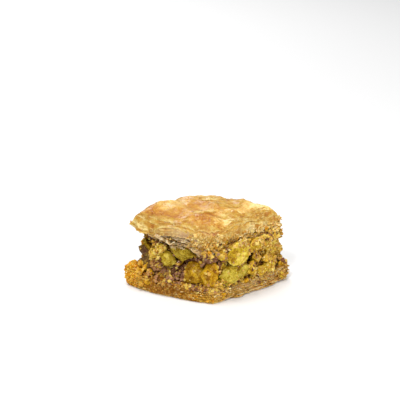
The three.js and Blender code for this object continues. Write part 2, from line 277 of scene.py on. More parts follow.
class Nodes:
    """A node tree, with short ways to add to it. Wherever a value is wanted, a name stands for
    the output of that name among the given ones, or else for the piece's note of that name."""

    def __init__(self, tree, given):
        self.tree = tree
        self.given = given

    def value(self, wanted):
        if not isinstance(wanted, str):
            return wanted
        if wanted in self.given:
            return self.given[wanted]
        return self.add("Attribute", attribute_name=wanted).outputs["Fac"]

    def add(self, kind, wires=(), **settings):
        """Adds a node with its settings. Each input is given a value or wired from an output."""
        node = self.tree.nodes.new("ShaderNode" + kind)
        for name, setting in settings.items():
            setattr(node, name, setting)
        for socket, wanted in dict(wires).items():
            value = self.value(wanted)
            if isinstance(value, bpy.types.NodeSocket):
                self.tree.links.new(value, node.inputs[socket])
            else:
                node.inputs[socket].default_value = value
        return node

    def reckon(self, operation, first, second, clamp=False):
        wires = {0: first, 1: second}
        return self.add("Math", wires, operation=operation, use_clamp=clamp).outputs[0]

    def times(self, first, second, clamp=False):
        return self.reckon("MULTIPLY", first, second, clamp)

    def total(self, offset, **weights):
        """The sum of named values, each times its weight, and an offset."""
        whole = offset
        for name, weight in weights.items():
            whole = self.reckon("ADD", whole, self.times(name, weight))
        return whole


def make_grain_group():
    """Grain and syrup, which every finish shares: mottled colour at two scales, its bumps, and
    a film of syrup that lies thicker in some places than others."""
    group = bpy.data.node_groups.new("grain and syrup", "ShaderNodeTree")
    for name in ("Patch Size", "Grain Size", "Wetness"):
        group.interface.new_socket(name, in_out="INPUT", socket_type="NodeSocketFloat")
    for name in ("Patches", "Grain", "Height", "Film", "Roughness"):
        group.interface.new_socket(name, in_out="OUTPUT", socket_type="NodeSocketFloat")
    nodes = Nodes(group, group.nodes.new("NodeGroupInput").outputs)
    made = group.nodes.new("NodeGroupOutput").inputs
    place = nodes.add("TexCoord").outputs["Object"]
    per_patch = nodes.reckon("DIVIDE", 1 / MM, "Patch Size")
    per_grain = nodes.reckon("DIVIDE", 1 / MM, "Grain Size")
    wires = {"Vector": place, "Scale": per_patch, "Detail": 3.0, "Roughness": 0.6}
    mottled = nodes.add("TexNoise", wires).outputs["Fac"]
    wires = {"Vector": place, "Scale": per_grain, "Detail": 2.0, "Roughness": 0.5}
    grain = nodes.add("TexNoise", wires).outputs["Fac"]
    wires = {"Vector": place, "Scale": per_grain, "Smoothness": 0.4}
    cells = nodes.add("TexVoronoi", wires, feature="SMOOTH_F1").outputs["Distance"]
    rounded = nodes.reckon("SUBTRACT", 1.0, cells)
    pooled = nodes.times(nodes.reckon("SUBTRACT", mottled, 0.35), 3.0, clamp=True)
    film = nodes.times(pooled, "Wetness")
    dry = nodes.reckon("SUBTRACT", 0.62, nodes.times(film, 0.35))
    results = {
        "Patches": mottled,
        "Grain": grain,
        "Height": nodes.reckon("ADD", nodes.times(rounded, 0.5), grain),
        "Film": film,
        "Roughness": nodes.reckon("ADD", dry, nodes.times(grain, 0.12)),
    }
    for name, value in results.items():
        group.links.new(value, made[name])
    return group


grain_group = make_grain_group()


def opaque(colour):
    return (*colour, 1) if isinstance(colour, tuple) else colour


class Finish(Nodes):
    """A material in the making: its shader, with its own grain and syrup."""

    def __init__(self, name, patch_size, grain_size, wetness, shine=0.12, film_blur=0.08):
        self.material = bpy.data.materials.new(name)
        self.material.use_nodes = True
        tree = self.material.node_tree
        grain = tree.nodes.new("ShaderNodeGroup")
        grain.node_tree = grain_group
        grain.inputs["Patch Size"].default_value = patch_size
        grain.inputs["Grain Size"].default_value = grain_size
        grain.inputs["Wetness"].default_value = wetness
        super().__init__(tree, grain.outputs)
        self.shader = tree.nodes["Principled BSDF"].inputs
        self.shine = shine
        self.wire("Roughness", "Roughness")
        self.wire("Coat Weight", "Film")
        self.shader["Specular IOR Level"].default_value = shine
        self.shader["Coat Roughness"].default_value = film_blur
        self.shader["Coat IOR"].default_value = 1.4

    def wire(self, socket, value):
        self.tree.links.new(self.value(value), self.shader[socket])

    def ramp(self, factor, stops):
        """Colours by a factor. A stop is its place from 0 to 1 and its linear red, green, blue."""
        node = self.add("ValToRGB", {"Fac": factor})
        elements = node.color_ramp.elements
        while len(elements) < len(stops):
            elements.new(0.5)
        for element, (place, *colour) in zip(elements, stops):
            element.position = place
            element.color = (*colour, 1)
        return node.outputs["Color"]

    def blend(self, factor, first, second, how="MIX"):
        wires = {0: factor, 6: opaque(first), 7: opaque(second)}
        settings = {"data_type": "RGBA", "blend_type": how, "clamp_factor": True}
        return self.add("Mix", wires, **settings).outputs[2]

    def between(self, share, factor, first_stops, second_stops):
        """Two ramps of one factor, blended by a share."""
        return self.blend(share, self.ramp(factor, first_stops), self.ramp(factor, second_stops))

    def paint(self, colour, depth, light, hollow=None, height="Height"):
        """Lays on the colour and bumps of a depth. light is how much light sinks in, how far it
        spreads, and the shares of red, green and blue in it. Where a mask is given as hollow, it
        turns the coat and the specular down, which paints shade on the syrup's sheen in shaded hollows."""
        self.wire("Base Color", colour)
        bump = self.add("Bump", {"Strength": 1.0, "Distance": depth * MM, "Height": height})
        self.wire("Normal", bump.outputs["Normal"])
        weight, reach, *spread = light
        self.shader["Subsurface Weight"].default_value = weight
        self.shader["Subsurface Scale"].default_value = reach * MM
        self.shader["Subsurface Radius"].default_value = spread
        if hollow is not None:
            proud = self.reckon("SUBTRACT", 1.0, hollow, clamp=True)
            self.wire("Coat Weight", self.times("Film", proud))
            self.wire("Specular IOR Level", self.times(proud, self.shine))


finish = Finish("soaked pastry", 2.2, 0.5, 0.6, shine=0.08)
mottle = finish.total(-0.22, Grain=0.5, Patches=0.5, tint=0.45, pale=0.42)
SOAKED = (
    (0.12, 0.15, 0.048, 0.005),
    (0.38, 0.32, 0.115, 0.006),
    (0.62, 0.55, 0.255, 0.026),
    (0.9, 0.88, 0.61, 0.26),
)
CARAMEL = ((0.15, 0.54, 0.19, 0.006), (0.5, 0.86, 0.4, 0.012), (0.9, 0.92, 0.62, 0.1))
colour = finish.between("caramel", mottle, SOAKED, CARAMEL)
shadow = finish.times("crack", 0.95)
colour = finish.blend(shadow, colour, (0.12, 0.034, 0.003))
finish.paint(colour, 0.3, (0.25, 1.2, 1.0, 0.45, 0.15), shadow)
finish_piece(slab, finish, "soaked_pastry", "pastry_base")

# ---------------------------------------------------------------------------
# Leaves of the base. A few sheets stand a little proud of the slab where the knife dragged
# them out, and the lowest one spreads on the tray as a thin pale edge.

BASE_LEAVES = 6
HOOP_RADIUS = 2  # of the blank hoop that a leaf is shaped from
LEAF_DEPTHS = np.array([0, 0.1, 0.35, 0.65, 0.9, 1, 0.9, 0.65, 0.35, 0.1])  # from the edge, inwards
LEAF_SIDES = np.array([0, 1, 1, 1, 1, 0, -1, -1, -1, -1])  # the upper or the lower skin


def make_leaf(cut, around, seed, height, reach, thick, deep, wave, curl=None, pale=0.0):
    """One leaf along the cut. reach and height give its edge, and curl lifts that edge."""
    section = len(LEAF_DEPTHS)
    hoop = {"major_radius": HOOP_RADIUS, "minor_radius": 1}
    bpy.ops.mesh.primitive_torus_add(major_segments=around, minor_segments=section, **hoop)
    leaf = bpy.context.object
    x, y, z = points_of(leaf)
    turn = np.arctan2(y, x) / TURN % 1
    round_section = np.arctan2(z, np.hypot(x, y) - HOOP_RADIUS) / TURN
    spot = np.rint(round_section * section).astype(int) % section
    x, y = on_cut(cut, turn)
    rough = 0.5 * patches(x, y, 2.6, seed)
    tears = fade(patches(x, y, 6.5, seed + 40, 2), 0.25, 0.6)
    edge = reach(turn, x, y) + rough * 0.7 - tears * 1.1
    depth = LEAF_DEPTHS[spot]
    x, y = pushed(cut, turn, x, y, edge - deep * depth)
    ripple = patches(x, y, 4.0, seed + 80, 2) + 0.4 * patches(x, y, 1.4, seed, 2)
    lift = curl(turn) * (1 - depth) ** 2 if curl else 0
    skin = LEAF_SIDES[spot] * thick / 2
    z = height(turn, x, y) + wave * ripple * (1 - 0.6 * depth) + lift + skin
    move_points(leaf, x, y, z)
    note(
        leaf,
        edge=1 - depth,
        golden=near(turn, 0.92, 0.1),
        pale=pale * near(turn, 0.86, 0.1),
        tint=np.full(len(x), noise.cell((seed * 3.7, 0.5, 0.5)) * 0.5 + 0.5),
    )
    return leaf


def join_pieces(name, pieces):
    take(*pieces)
    bpy.ops.object.join()
    pieces[0].name = name
    pieces[0].data.name = name
    return pieces[0]


def base_leaf(index):
    """A leaf of the slab, which the knife has dragged out in some places."""
    share = (index + 0.6) / BASE_LEAVES

    def height(turn, x, y):
        return base_top(x, y) * share

    def reach(turn, x, y):
        toward_right = 0.3 * fade(turn, 0.74, 0.8) - 0.1
        return -0.75 + 0.9 * fade(patches(x, y, 7, 50 + index, 2) + toward_right, -0.15, 0.45)

    return make_leaf(base_cut, 560, 60 + index, height, reach, thick=0.28, deep=2.2, wave=0.22)


def lowest_height(turn, x, y):
    return 0.32 + 0.75 * foot_lift(turn)


def lowest_reach(turn, x, y):
    return -0.35 - 0.25 * foot_lift(turn) + 0.8 * near(turn, 0.59, 0.08)


leaves = [base_leaf(index) for index in range(BASE_LEAVES)]
lowest_leaf = make_leaf(
    base_cut, 560, 92, lowest_height, lowest_reach, thick=0.42, deep=2.4, wave=0.06, pale=1.0
)
base_leaves = join_pieces("base_leaves", [*leaves, lowest_leaf])

soaked_leaf = Finish("soaked leaf", 2.6, 0.5, 0.6)
mottle = soaked_leaf.total(0.0, Patches=0.9, tint=0.25, pale=0.35)
SOAKED_LEAF = ((0.3, 0.36, 0.165, 0.014), (0.6, 0.6, 0.35, 0.07), (0.85, 0.88, 0.68, 0.34))
soaked_leaf.paint(soaked_leaf.ramp(mottle, SOAKED_LEAF), 0.08, (0.3, 1.0, 1.0, 0.5, 0.2))
finish_piece(base_leaves, soaked_leaf, "soaked_pastry")

# ---------------------------------------------------------------------------
# Nut paste. Finely ground pistachio, syrup and butter that hold the filling together. It is
# crumbly, painted shade darkens its hollows so its crests look yellower, and the chopped nuts sit in it.

FILLING_TOP = 22.5
GAP = 0.3
UNDER_WAVE = 0.45
RIM_WAVE = 0.3
UNDER_SWELLINGS = [(-half_length, 0, 9, 2), (half_length, 0, 9, -4.5), (-4, -23, 6.5, -3), (13, -18, 8, 1.6)]
PASTE_ROWS = 44
# Hollows between the nuts, darkened with painted shade: turn, height, spread and depth.
HOLLOWS = [(0.86, 15.8, 1.9, 3.0), (0.688, 19.9, 1.8, 2.4), (0.773, 15.8, 1.4, 1.8), (0.6, 17.0, 1.3, 1.6)]
# Where ground skins gather on the two front sides: turn, height and spread.
SKIN_PATCHES = [
    (0.53, 19.5, 3.4), (0.545, 17.0, 3.2), (0.596, 9.9, 2.8), (0.605, 8.0, 2.4), (0.617, 13.5, 2.8),
    (0.622, 10.2, 2.0), (0.642, 11.0, 2.8), (0.653, 8.4, 2.4), (0.665, 15.5, 3.0), (0.677, 17.4, 2.6),
    (0.69, 5.2, 2.0), (0.7, 18.5, 2.4), (0.716, 7.0, 2.0), (0.722, 17.6, 2.2), (0.74, 18.6, 2.4),
    (0.759, 17.4, 2.6), (0.77, 13.4, 2.0), (0.776, 15.6, 2.2), (0.827, 15.4, 2.0), (0.853, 16.0, 2.2),
    (0.905, 22.0, 1.2),
]

filling_cut = cut_outline(30.2, 25, 2, 1.2, 0.3, 4.1)


def lid_under(x, y):
    rim = fade(np.abs(x) / half_length + np.abs(y) / half_width, 0.7, 1)
    waves = UNDER_WAVE * np.sin(x / 6) * np.cos(y / 7 + 1)
    waves = waves + RIM_WAVE * np.sin(x / 2.3 - y / 3) * rim
    return FILLING_TOP + waves + swellings(UNDER_SWELLINGS, x, y)


def side_spot(turn, z, at, up, spread):
    """1 at a spot on the side of the filling, fading out round it."""
    along = (turn - at) * filling_cut["length"]
    return np.exp(-(along**2 + (z - up) ** 2) / spread**2)


def hollow(turn, z):
    """How deep the hollows are."""
    return sum(depth * side_spot(turn, z, *place) for *place, depth in HOLLOWS)


def crushed_in(turn, z):
    """How far the top of the filling is crushed inwards at its corners."""
    right = 4.2 * near(turn, 0, 0.055) * fade(z, 8, 15)
    left = 2.0 * near(turn, 0.51, 0.035) * fade(z, 10, 15)
    behind = 1.2 * near(turn, 0.13, 0.07) * fade(z, 13, 19)
    return right + left + behind


def skin_share(turn, x, y, z):
    """How much of the ground nut at a spot is skin, from 0 to 1."""
    seen = np.max([side_spot(turn, z, *place) for place in SKIN_PATCHES], axis=0)
    unseen = 1.5 * unevenness(x, y, z, 6, 7, 2) * fade(np.abs(turn - 0.24), 0.26, 0.2)
    return np.clip(np.maximum(seen, unseen), 0, 1)


top_shares = [0, 0.4, 0.65, 0.78, 0.86, 0.91, 0.94, 0.965, 0.985]
under_shares = [0.985, 0.96, 0.9, 0.75, 0.4, 0]
side_lifts = [1 - row / (PASTE_ROWS - 1) for row in range(PASTE_ROWS)]
paste_shares = top_shares + [1] * PASTE_ROWS + under_shares
paste_lifts = [1] * len(top_shares) + side_lifts + [0] * len(under_shares)

paste, turn, share, lift = wrapped_sheet("nut_paste", 860, paste_shares, paste_lifts)
x, y = on_cut(filling_cut, turn, share)
floor_z = base_top(x, y) + GAP
ceiling_z = lid_under(x, y) - GAP
z = floor_z + (ceiling_z - floor_z) * lift
clumps, clump_tint = crumb_relief(x, y, z, 2.6, 5)
grains, grain_tint = crumb_relief(x, y, z, 1.25, 6)
hollows = unevenness(x, y, z, 5.5, 14)
push = -1.2 + 1.1 * hollows + 0.9 * (clumps - 0.5) + 0.5 * (grains - 0.5)
push = push - crushed_in(turn, z) - hollow(turn, z)
side = fade(share, 0.93, 0.99)
x, y = pushed(filling_cut, turn, x, y, side * push)
foot_x, foot_y = on_cut(base_cut, turn, 0.985)
apron = side * np.exp(-(z - floor_z) / 1.3) * (0.75 + 0.25 * hollows)
x = x + apron * (foot_x - x)
y = y + apron * (foot_y - y)
z = z - side * (1 - lift) * 1.2 * fade(lift, 0.12, 0)
move_points(paste, x, y, z)
cracks = 1 - 0.5 * clumps - 0.5 * grains - 0.5 * hollows + 0.5 * hollow(turn, z)
note(
    paste,
    tint=0.45 * clump_tint + 0.55 * grain_tint,
    crack=np.clip(cracks, 0, 1.1),
    caramel=swell(x, y, -half_length + 3, -2, 8) * fade(z, 17, 10),
    skins=skin_share(turn, x, y, z),
    golden=near(turn, 0.92, 0.07),
)
close_up(paste)

finish = Finish("nut paste", 2.4, 0.45, 0.8, shine=0.08)
mottle = finish.total(-0.24, Grain=0.45, Patches=0.35, tint=0.6, golden=0.2)
PASTE = (
    (0.15, 0.09, 0.03, 0.007),
    (0.35, 0.2, 0.08, 0.02),
    (0.6, 0.4, 0.2, 0.035),
    (0.85, 0.6, 0.38, 0.06),
)
CARAMEL_PASTE = ((0.15, 0.4, 0.14, 0.006), (0.5, 0.66, 0.3, 0.012), (0.9, 0.82, 0.52, 0.08))
GROUND_SKINS = ((0.2, 0.05, 0.017, 0.01), (0.75, 0.35, 0.18, 0.105))
colour = finish.between("caramel", mottle, PASTE, CARAMEL_PASTE)
skins_there = finish.times("skins", 0.85)
colour = finish.blend(skins_there, colour, finish.ramp(mottle, GROUND_SKINS))
# Painted shade: the paste is darkened in its cracks and hollows and where it touches the nuts.
cracked = finish.times("crack", 0.8)
shadow = finish.reckon("MAXIMUM", cracked, finish.times("deep", 0.9))
colour = finish.blend(shadow, colour, (0.045, 0.011, 0.001))
finish.paint(colour, 0.16, (0.15, 0.8, 1.0, 0.6, 0.2), shadow)
finish_piece(paste, finish, "pistachio", "pistachio_filling")

# ---------------------------------------------------------------------------
# Chopped pistachios. Whole kernels are chopped to pieces of 3 to 10 mm: yellow to green
# inside, with some of the brown-purple skin still on their rounded side.

# Each large piece: its turn along the cut, height, length, height across, tilt, ripeness, from
# 0 for deep green to 1 for yellow, and how much syrup has glazed it amber.
LARGE_PIECES = [
    (0.584, 19.2, 5.5, 5, 20, 1.0, 0.1),
    (0.562, 15.8, 4.5, 4.5, 60, 1.0, 0.0),
    (0.567, 11.6, 5.5, 4, 0, 0.6, 0.6),
    (0.605, 14.8, 7.2, 4.6, -35, 0.45, 0.1),
    (0.65, 19.4, 11, 5.4, -33, 0.1, 0.3),
    (0.631, 8.8, 5.6, 4.2, 0, 0.3, 0.4),
    (0.687, 11.8, 9, 8.4, 20, 0.25, 0.9),
    (0.729, 12, 6.6, 10.5, -8, 0.65, 0.9),
    (0.728, 19, 5.2, 4.4, 0, 0.95, 0.6),
    (0.811, 20.8, 11, 9.5, 50, 1.0, 0.0),
    (0.8, 11.4, 11, 8.6, 15, 0.4, 0.0),
    (0.763, 20.2, 5, 5, 30, 0.75, 0.5),
    (0.868, 21, 7.4, 6.4, -20, 0.85, 0.4),
    (0.935, 17.8, 6.6, 6, 15, 0.9, 0.3),
    (0.851, 12, 4.8, 6, 0, 0.65, 0.6),
    (0.908, 13.6, 5, 4.4, 30, 0.75, 0.7),
    (0.949, 11.8, 5, 4.6, 0, 0.8, 0.7),
    (0.892, 8.8, 5, 4, 0, 0.7, 0.6),
]
# Some of them have settled: which, how far back along the cut, and how far down.
SETTLED = [(5, 0.0, 1.2), (6, 0.004, 1.5), (7, 0.005, 0.2)]
# Pieces that bulge up past the edge of the lid, where the corner is crushed.
BULGING_PIECES = [
    (0.896, 23.2, 4.6, 4.2, 20, 0.95, 0.3),
    (0.918, 22.8, 4.4, 4.0, -30, 0.85, 0.5),
    (0.942, 22.0, 3.6, 3.4, 10, 0.9, 0.6),
]
# Pieces that have fallen onto the side of the base: turn, height, size, ripeness and glaze.
FALLEN_PIECES = [
    (0.777, 3.1, 2.6, 0.8, 1.0), (0.973, 3.4, 4.2, 0.85, 0.2), (0.977, 8.3, 3.4, 0.8, 0.9),
    (0.571, 4.0, 2.9, 1.0, 0.7), (0.596, 6.4, 2.4, 0.9, 0.6), (0.503, 4.2, 4.4, 1.0, 1.0),
    (0.519, 7.8, 3.8, 0.9, 1.0), (0.533, 5.2, 4.2, 1.0, 1.0), (0.549, 8.0, 3.6, 1.0, 1.0),
    (0.555, 3.0, 3.2, 1.0, 1.0), (0.487, 7.0, 4.0, 0.9, 1.0), (0.47, 3.6, 3.6, 0.9, 1.0),
    (0.845, 6.8, 2.6, 0.8, 1.0), (0.27, 4.2, 2.8, 0.7, 0.8), (0.09, 5.0, 3.2, 0.5, 0.3),
    (0.559, 10.0, 3.6, 1.0, 1.0), (0.541, 10.4, 3.2, 0.9, 0.9), (0.575, 8.4, 3.2, 1.0, 1.0),
    (0.636, 7.0, 4.2, 0.75, 0.45),
]
CHOPPED_SIZES = [(8.5, 60), (6, 140), (4.2, 400)]  # usual length, and how many are tried
CLOSEST = 0.44  # share of their mean span that two pieces keep apart
CHOP_THICK = 5
FULLER = 1.32  # so that the cut kernels fill the same room as whole ones
SMALLEST_LARGE = 5.6
LARGE_FINENESS = 0.042  # size of a face, as a share of the piece
SMALL_FINENESS = 0.075


def chop(pick, cuts, nearest, furthest):
    """Cuts flat faces off the shape in edit mode, each at its own distance from the middle."""
    for _ in range(cuts):
        facing = Vector([pick.gauss(0, 1) for _ in range(3)]).normalized()
        middle = facing * pick.uniform(nearest, furthest)
        bpy.ops.mesh.select_all(action="SELECT")
        bpy.ops.mesh.bisect(plane_co=middle, plane_no=facing, use_fill=True, clear_outer=True)


def as_model(piece, x, y, z, **notes):
    """Takes a shape about 1 across out of the scene, to be strewn."""
    faces = [list(face.vertices) for face in piece.data.polygons]
    bpy.data.objects.remove(piece)
    return {"points": np.column_stack([x, y, z]), "faces": faces, "notes": notes}


def apply_modifier(piece, kind, **settings):
    added = piece.modifiers.new(kind.lower(), kind)
    for name, value in settings.items():
        setattr(added, name, value)
    bpy.ops.object.modifier_apply(modifier=added.name)


def chopped_kernel(index, fineness, grain_depth):
    """One chopped piece about 1 across: a round kernel with a few knife cuts, and worn edges."""
    bpy.ops.mesh.primitive_ico_sphere_add(subdivisions=4, radius=0.5)
    piece = bpy.context.object
    bpy.ops.object.mode_set(mode="EDIT")
    chop(random.Random(400 + index), 5 + index % 4, 0.24, 0.4)
    bpy.ops.object.mode_set(mode="OBJECT")
    apply_modifier(piece, "REMESH", mode="VOXEL", voxel_size=fineness)
    apply_modifier(piece, "SMOOTH", factor=0.5, iterations=1)
    x, y, z = points_of(piece)
    skinned = fade(np.sqrt(x**2 + y**2 + z**2), 0.455, 0.475)
    pitted = unevenness(x, y, z, 0.28, index, 4)
    ridged = np.abs(unevenness(x, y, z, 0.14, index + 20, 3))
    crumbly, _ = crumb_relief(x, y, z, 0.17, index)
    swollen = 1 + grain_depth * pitted - 0.5 * grain_depth * ridged + 0.035 * (crumbly - 0.6)
    return as_model(piece, x * swollen, y * swollen, z * swollen, skin=skinned, pit=pitted)


def strew(name, models, spots):
    """One mesh with a copy of a model at each spot, which says its model, matrix and notes."""
    points = []
    faces = []
    notes = {}
    start = 0
    for spot in spots:
        model = models[spot["model"] % len(models)]
        matrix = np.array(spot["matrix"])
        placed = model["points"] @ matrix[:3, :3].T + matrix[:3, 3]
        if "trim" in spot:
            placed = spot["trim"](placed)
        points.append(placed)
        faces.extend([[start + corner for corner in face] for face in model["faces"]])
        start += len(placed)
        for key, value in {**spot["notes"], **model["notes"]}.items():
            notes.setdefault(key, []).append(np.full(len(placed), value))
    mesh = bpy.data.meshes.new(name)
    mesh.from_pydata((np.vstack(points) * MM).tolist(), [], faces)
    piece = bpy.data.objects.new(name, mesh)
    bpy.context.scene.collection.objects.link(piece)
    note(piece, **{key: np.concatenate(values) for key, values in notes.items()})
    return piece


draw_state = 20


def draw():
    """A repeatable random draw from 0 to 1, the same as lays out the solid filling."""
    global draw_state
    draw_state = (draw_state * 1664525 + 1013904223) % 4294967296
    return draw_state / 4294967296


chopped = [list(piece) for piece in LARGE_PIECES]
for usual, draws in CHOPPED_SIZES:
    for _ in range(draws):
        turn_at = draw()
        up = BASE_HEIGHT + 1.5 + draw() * (FILLING_TOP - BASE_HEIGHT - 3)
        long = usual * (0.85 + 0.3 * draw())
        tall = long * (0.65 + 0.2 * draw())
        tilt = 180 * draw()
        clear = True
        for other in chopped:
            turned = abs(other[0] - turn_at)
            apart = min(turned, 1 - turned) * filling_cut["length"]
            span = (other[2] + other[3] + long + tall) / 2
            clear = clear and math.hypot(apart, other[1] - up) > CLOSEST * span
        if clear:
            ripeness = noise.cell((len(chopped) * 1.7, 2.5, 4.5)) * 0.5 + 0.5
            glazed = noise.cell((len(chopped) * 2.9, 6.5, 1.5)) * 0.5 + 0.5
            chopped.append([turn_at, up, long, tall, tilt, ripeness, glazed])
for index, back_along, down in SETTLED:
    chopped[index][0] -= back_along
    chopped[index][1] -= down
chopped += BULGING_PIECES


def keep_in_room(turn_at):
    """The base and the lid press on the nuts. Only what bulges out past the lid may rise."""
    at_x, at_y = on_cut(filling_cut, turn_at)
    out_x, out_y = outward(filling_cut, turn_at)
    proud = 0.2 + 1.8 * near(turn_at, 0.81, 0.05) + 2.2 * near(turn_at, 0.91, 0.035)

    def trim(points):
        bulge = (points[:, 0] - at_x) * out_x + (points[:, 1] - at_y) * out_y
        low = base_top(points[:, 0], points[:, 1]) - 0.4 - 0.6 * fade(bulge, 0, 1.5)
        high = lid_under(points[:, 0], points[:, 1]) + 0.1 + proud * fade(bulge, 0, 1.5)
        points[:, 2] = np.clip(points[:, 2], low, high)
        return points

    return trim


def any_turn(pick):
    return Euler([pick.uniform(0, TURN) for _ in range(3)]).to_matrix().to_4x4()


def sunk_in(cut, turn_at, up, sunk):
    """Moves a thing to the side of a cut, as far in as it has sunk."""
    x, y = pushed(cut, turn_at, *on_cut(cut, turn_at), -sunk)
    return Matrix.Translation((x, y, up))


def piece_matrix(turn_at, up, size, tilt, sunk, pick):
    """Lays a piece of size (thick, long, tall) on the side of the filling."""
    out_x, out_y = outward(filling_cut, turn_at)
    own_turn = any_turn(pick)
    sunk = sunk + float(crushed_in(turn_at, up))
    if size[1] < 8:
        sunk = sunk + float(hollow(turn_at, up))
    matrix = sunk_in(filling_cut, turn_at, up, sunk)
    matrix = matrix @ Matrix.Rotation(math.atan2(out_y, out_x), 4, "Z")
    matrix = matrix @ Matrix.Rotation(math.radians(tilt), 4, "X")
    return matrix @ Matrix.Diagonal((*size, 1)) @ own_turn


large_models = [chopped_kernel(index, LARGE_FINENESS, 0.15) for index in range(10)]
small_models = [chopped_kernel(20 + index, SMALL_FINENESS, 0.12) for index in range(8)]

pick = random.Random(7)
large_spots = []
small_spots = []
for index, (turn_at, up, long, tall, tilt, ripeness, glazed) in enumerate(chopped):
    skinned = pick.random() < 0.2 and index >= len(LARGE_PIECES)
    if 0.49 < turn_at < 0.555:
        skinned = True
        ripeness = 0.1
    if near(turn_at, 0, 0.06) > 0.3:
        skinned = False
    size = (min(tall, CHOP_THICK) * FULLER, long * FULLER, tall * FULLER)
    sunk = 0.2 + 1.2 * near(turn_at, 0.0, 0.06)
    if index >= len(LARGE_PIECES) and 0.57 < turn_at < 0.9:
        sunk += 2.6 * float(skin_share(*np.array([[turn_at], [0.0], [0.0], [up]]))[0])
    spot = {
        "model": pick.randrange(100),
        "matrix": piece_matrix(turn_at, up, size, tilt, sunk, pick),
        "trim": keep_in_room(turn_at),
        "notes": {"ripe": ripeness, "glazed": glazed, "skinned": float(skinned)},
    }
    if long > SMALLEST_LARGE:
        large_spots.append(spot)
    else:
        small_spots.append(spot)
for turn_at, up, size, ripeness, glazed in FALLEN_PIECES:
    sunk = 0.6 * (size - 2.5) + 0.9 * max(up - 8, 0) + 0.4 * near(turn_at, 0.5, 0.03)
    matrix = sunk_in(base_cut, turn_at, up, sunk) @ any_turn(pick)
    spot = {
        "model": pick.randrange(100),
        "matrix": matrix @ Matrix.Diagonal((size * 1.2, size, size * 0.9, 1)),
        "notes": {"ripe": ripeness, "glazed": glazed, "skinned": 0.0},
    }
    small_spots.append(spot)
large_nuts = strew("chopped_pistachios", large_models, large_spots)
small_nuts = strew("chopped_pistachios_small", small_models, small_spots)


def ground_of(*pieces):
    """Everything that loose bits can lie on, as one surface in millimetres."""
    corners = []
    faces = []
    for piece in pieces:
        start = len(corners)
        corners.extend(vertex.co / MM for vertex in piece.data.vertices)
        faces.extend([start + corner for corner in face.vertices] for face in piece.data.polygons)
    return BVHTree.FromPolygons(corners, faces)


def closeness(piece, ground, far, close):
    """1 where a piece touches a surface, and 0 from far off it."""
    apart = [ground.find_nearest(vertex.co / MM)[3] for vertex in piece.data.vertices]
    return fade(np.array(apart), far, close)


# Painted contact shadow: where the nuts and the paste touch, their finishes darken them and turn their sheen
# down.
paste_ground = ground_of(paste)
note(large_nuts, deep=closeness(large_nuts, paste_ground, 1.0, 0.1))
note(small_nuts, deep=closeness(small_nuts, paste_ground, 0.9, 0.1))
note(paste, deep=closeness(paste, ground_of(large_nuts, small_nuts), 1.1, 0.2))

finish = Finish("pistachio", 2.2, 0.5, 0.36, shine=0.08, film_blur=0.22)
mottle = finish.total(0.0, Patches=0.7, Grain=0.45, pit=0.25, skin=-0.06)
GREEN = ((0.28, 0.1, 0.05, 0.002), (0.5, 0.255, 0.165, 0.006), (0.72, 0.52, 0.41, 0.035))
YELLOW = ((0.28, 0.3, 0.135, 0.004), (0.5, 0.59, 0.385, 0.012), (0.72, 0.88, 0.68, 0.12))
SKIN = ((0.35, 0.05, 0.017, 0.016), (0.65, 0.16, 0.07, 0.035))
colour = finish.between("ripe", mottle, GREEN, YELLOW)
colour = finish.blend("glazed", colour, (0.98, 0.7, 0.06), "MULTIPLY")
specks = finish.times(finish.total(-0.56, Grain=1.0), 5.0, clamp=True)
colour = finish.blend(finish.times(specks, 0.4), colour, (0.9, 0.76, 0.14))
skin_there = finish.times("skin", "skinned")
skin_there = finish.times(skin_there, finish.total(1.25, Patches=-1.0), clamp=True)
colour = finish.blend(skin_there, colour, finish.ramp("Grain", SKIN))
# Painted shade: the nuts are darkened and lose their sheen where they sit against the paste, as contact
# shadow.
deep = finish.times("deep", 0.85)
colour = finish.blend(deep, colour, (0.34, 0.15, 0.05), "MULTIPLY")
finish.paint(colour, 0.6, (0.3, 1.5, 0.8, 0.6, 0.15), deep)
finish_piece(large_nuts, finish, "pistachio")
finish_piece(small_nuts, finish, "pistachio")

# ---------------------------------------------------------------------------
# Crust. The topmost sheets of the lid, baked crisp and brushed with syrup. The heat blows
# them up into blisters, they wrinkle as they dry, and where a sheet has flaked off its edge
# leaves a thin step.

LID_EDGE = 27
CROWN = 34
LID_CENTRE = -1
EDGE_WAVE = 0.35
EDGE_SWELLINGS = [
    (-half_length, 0, 10, 0.7),
    (half_length, 0, 9, 1.2),
    (-1, -half_width, 11, -3),
    (-24, -10, 8, -2),
    (19, -11, 11, -1.2),
]
LEFT_PUFFS = [(-21, 6, 9, 1.6), (-24.5, 6, 5.5, 2.2)]
BACK_PUFFS = [(-8, 15, 7, 1.0), (20, 7, 8, 1.2), (27, 2, 5, 2.4)]
PILLOW = 5
# Turns round the cut, and the heights that the rim of the crust hangs to there.
RIM_HEIGHTS = [
    (0.0, 27.4), (0.04, 27.2), (0.1, 27.0), (0.16, 26.8), (0.22, 25.4), (0.27, 24.2), (0.33, 25.8),
    (0.4, 26.4), (0.46, 27.2), (0.49, 27.2), (0.506, 26.2), (0.527, 24.8), (0.561, 24.3), (0.587, 24.4),
    (0.617, 25.7), (0.649, 27.0), (0.669, 26.2), (0.691, 25.0), (0.713, 24.2), (0.734, 24.0),
    (0.759, 24.2), (0.794, 24.7), (0.843, 24.6), (0.877, 25.0), (0.903, 25.6), (0.93, 25.4),
    (0.95, 24.6), (0.974, 25.0), (1.0, 27.4),
]
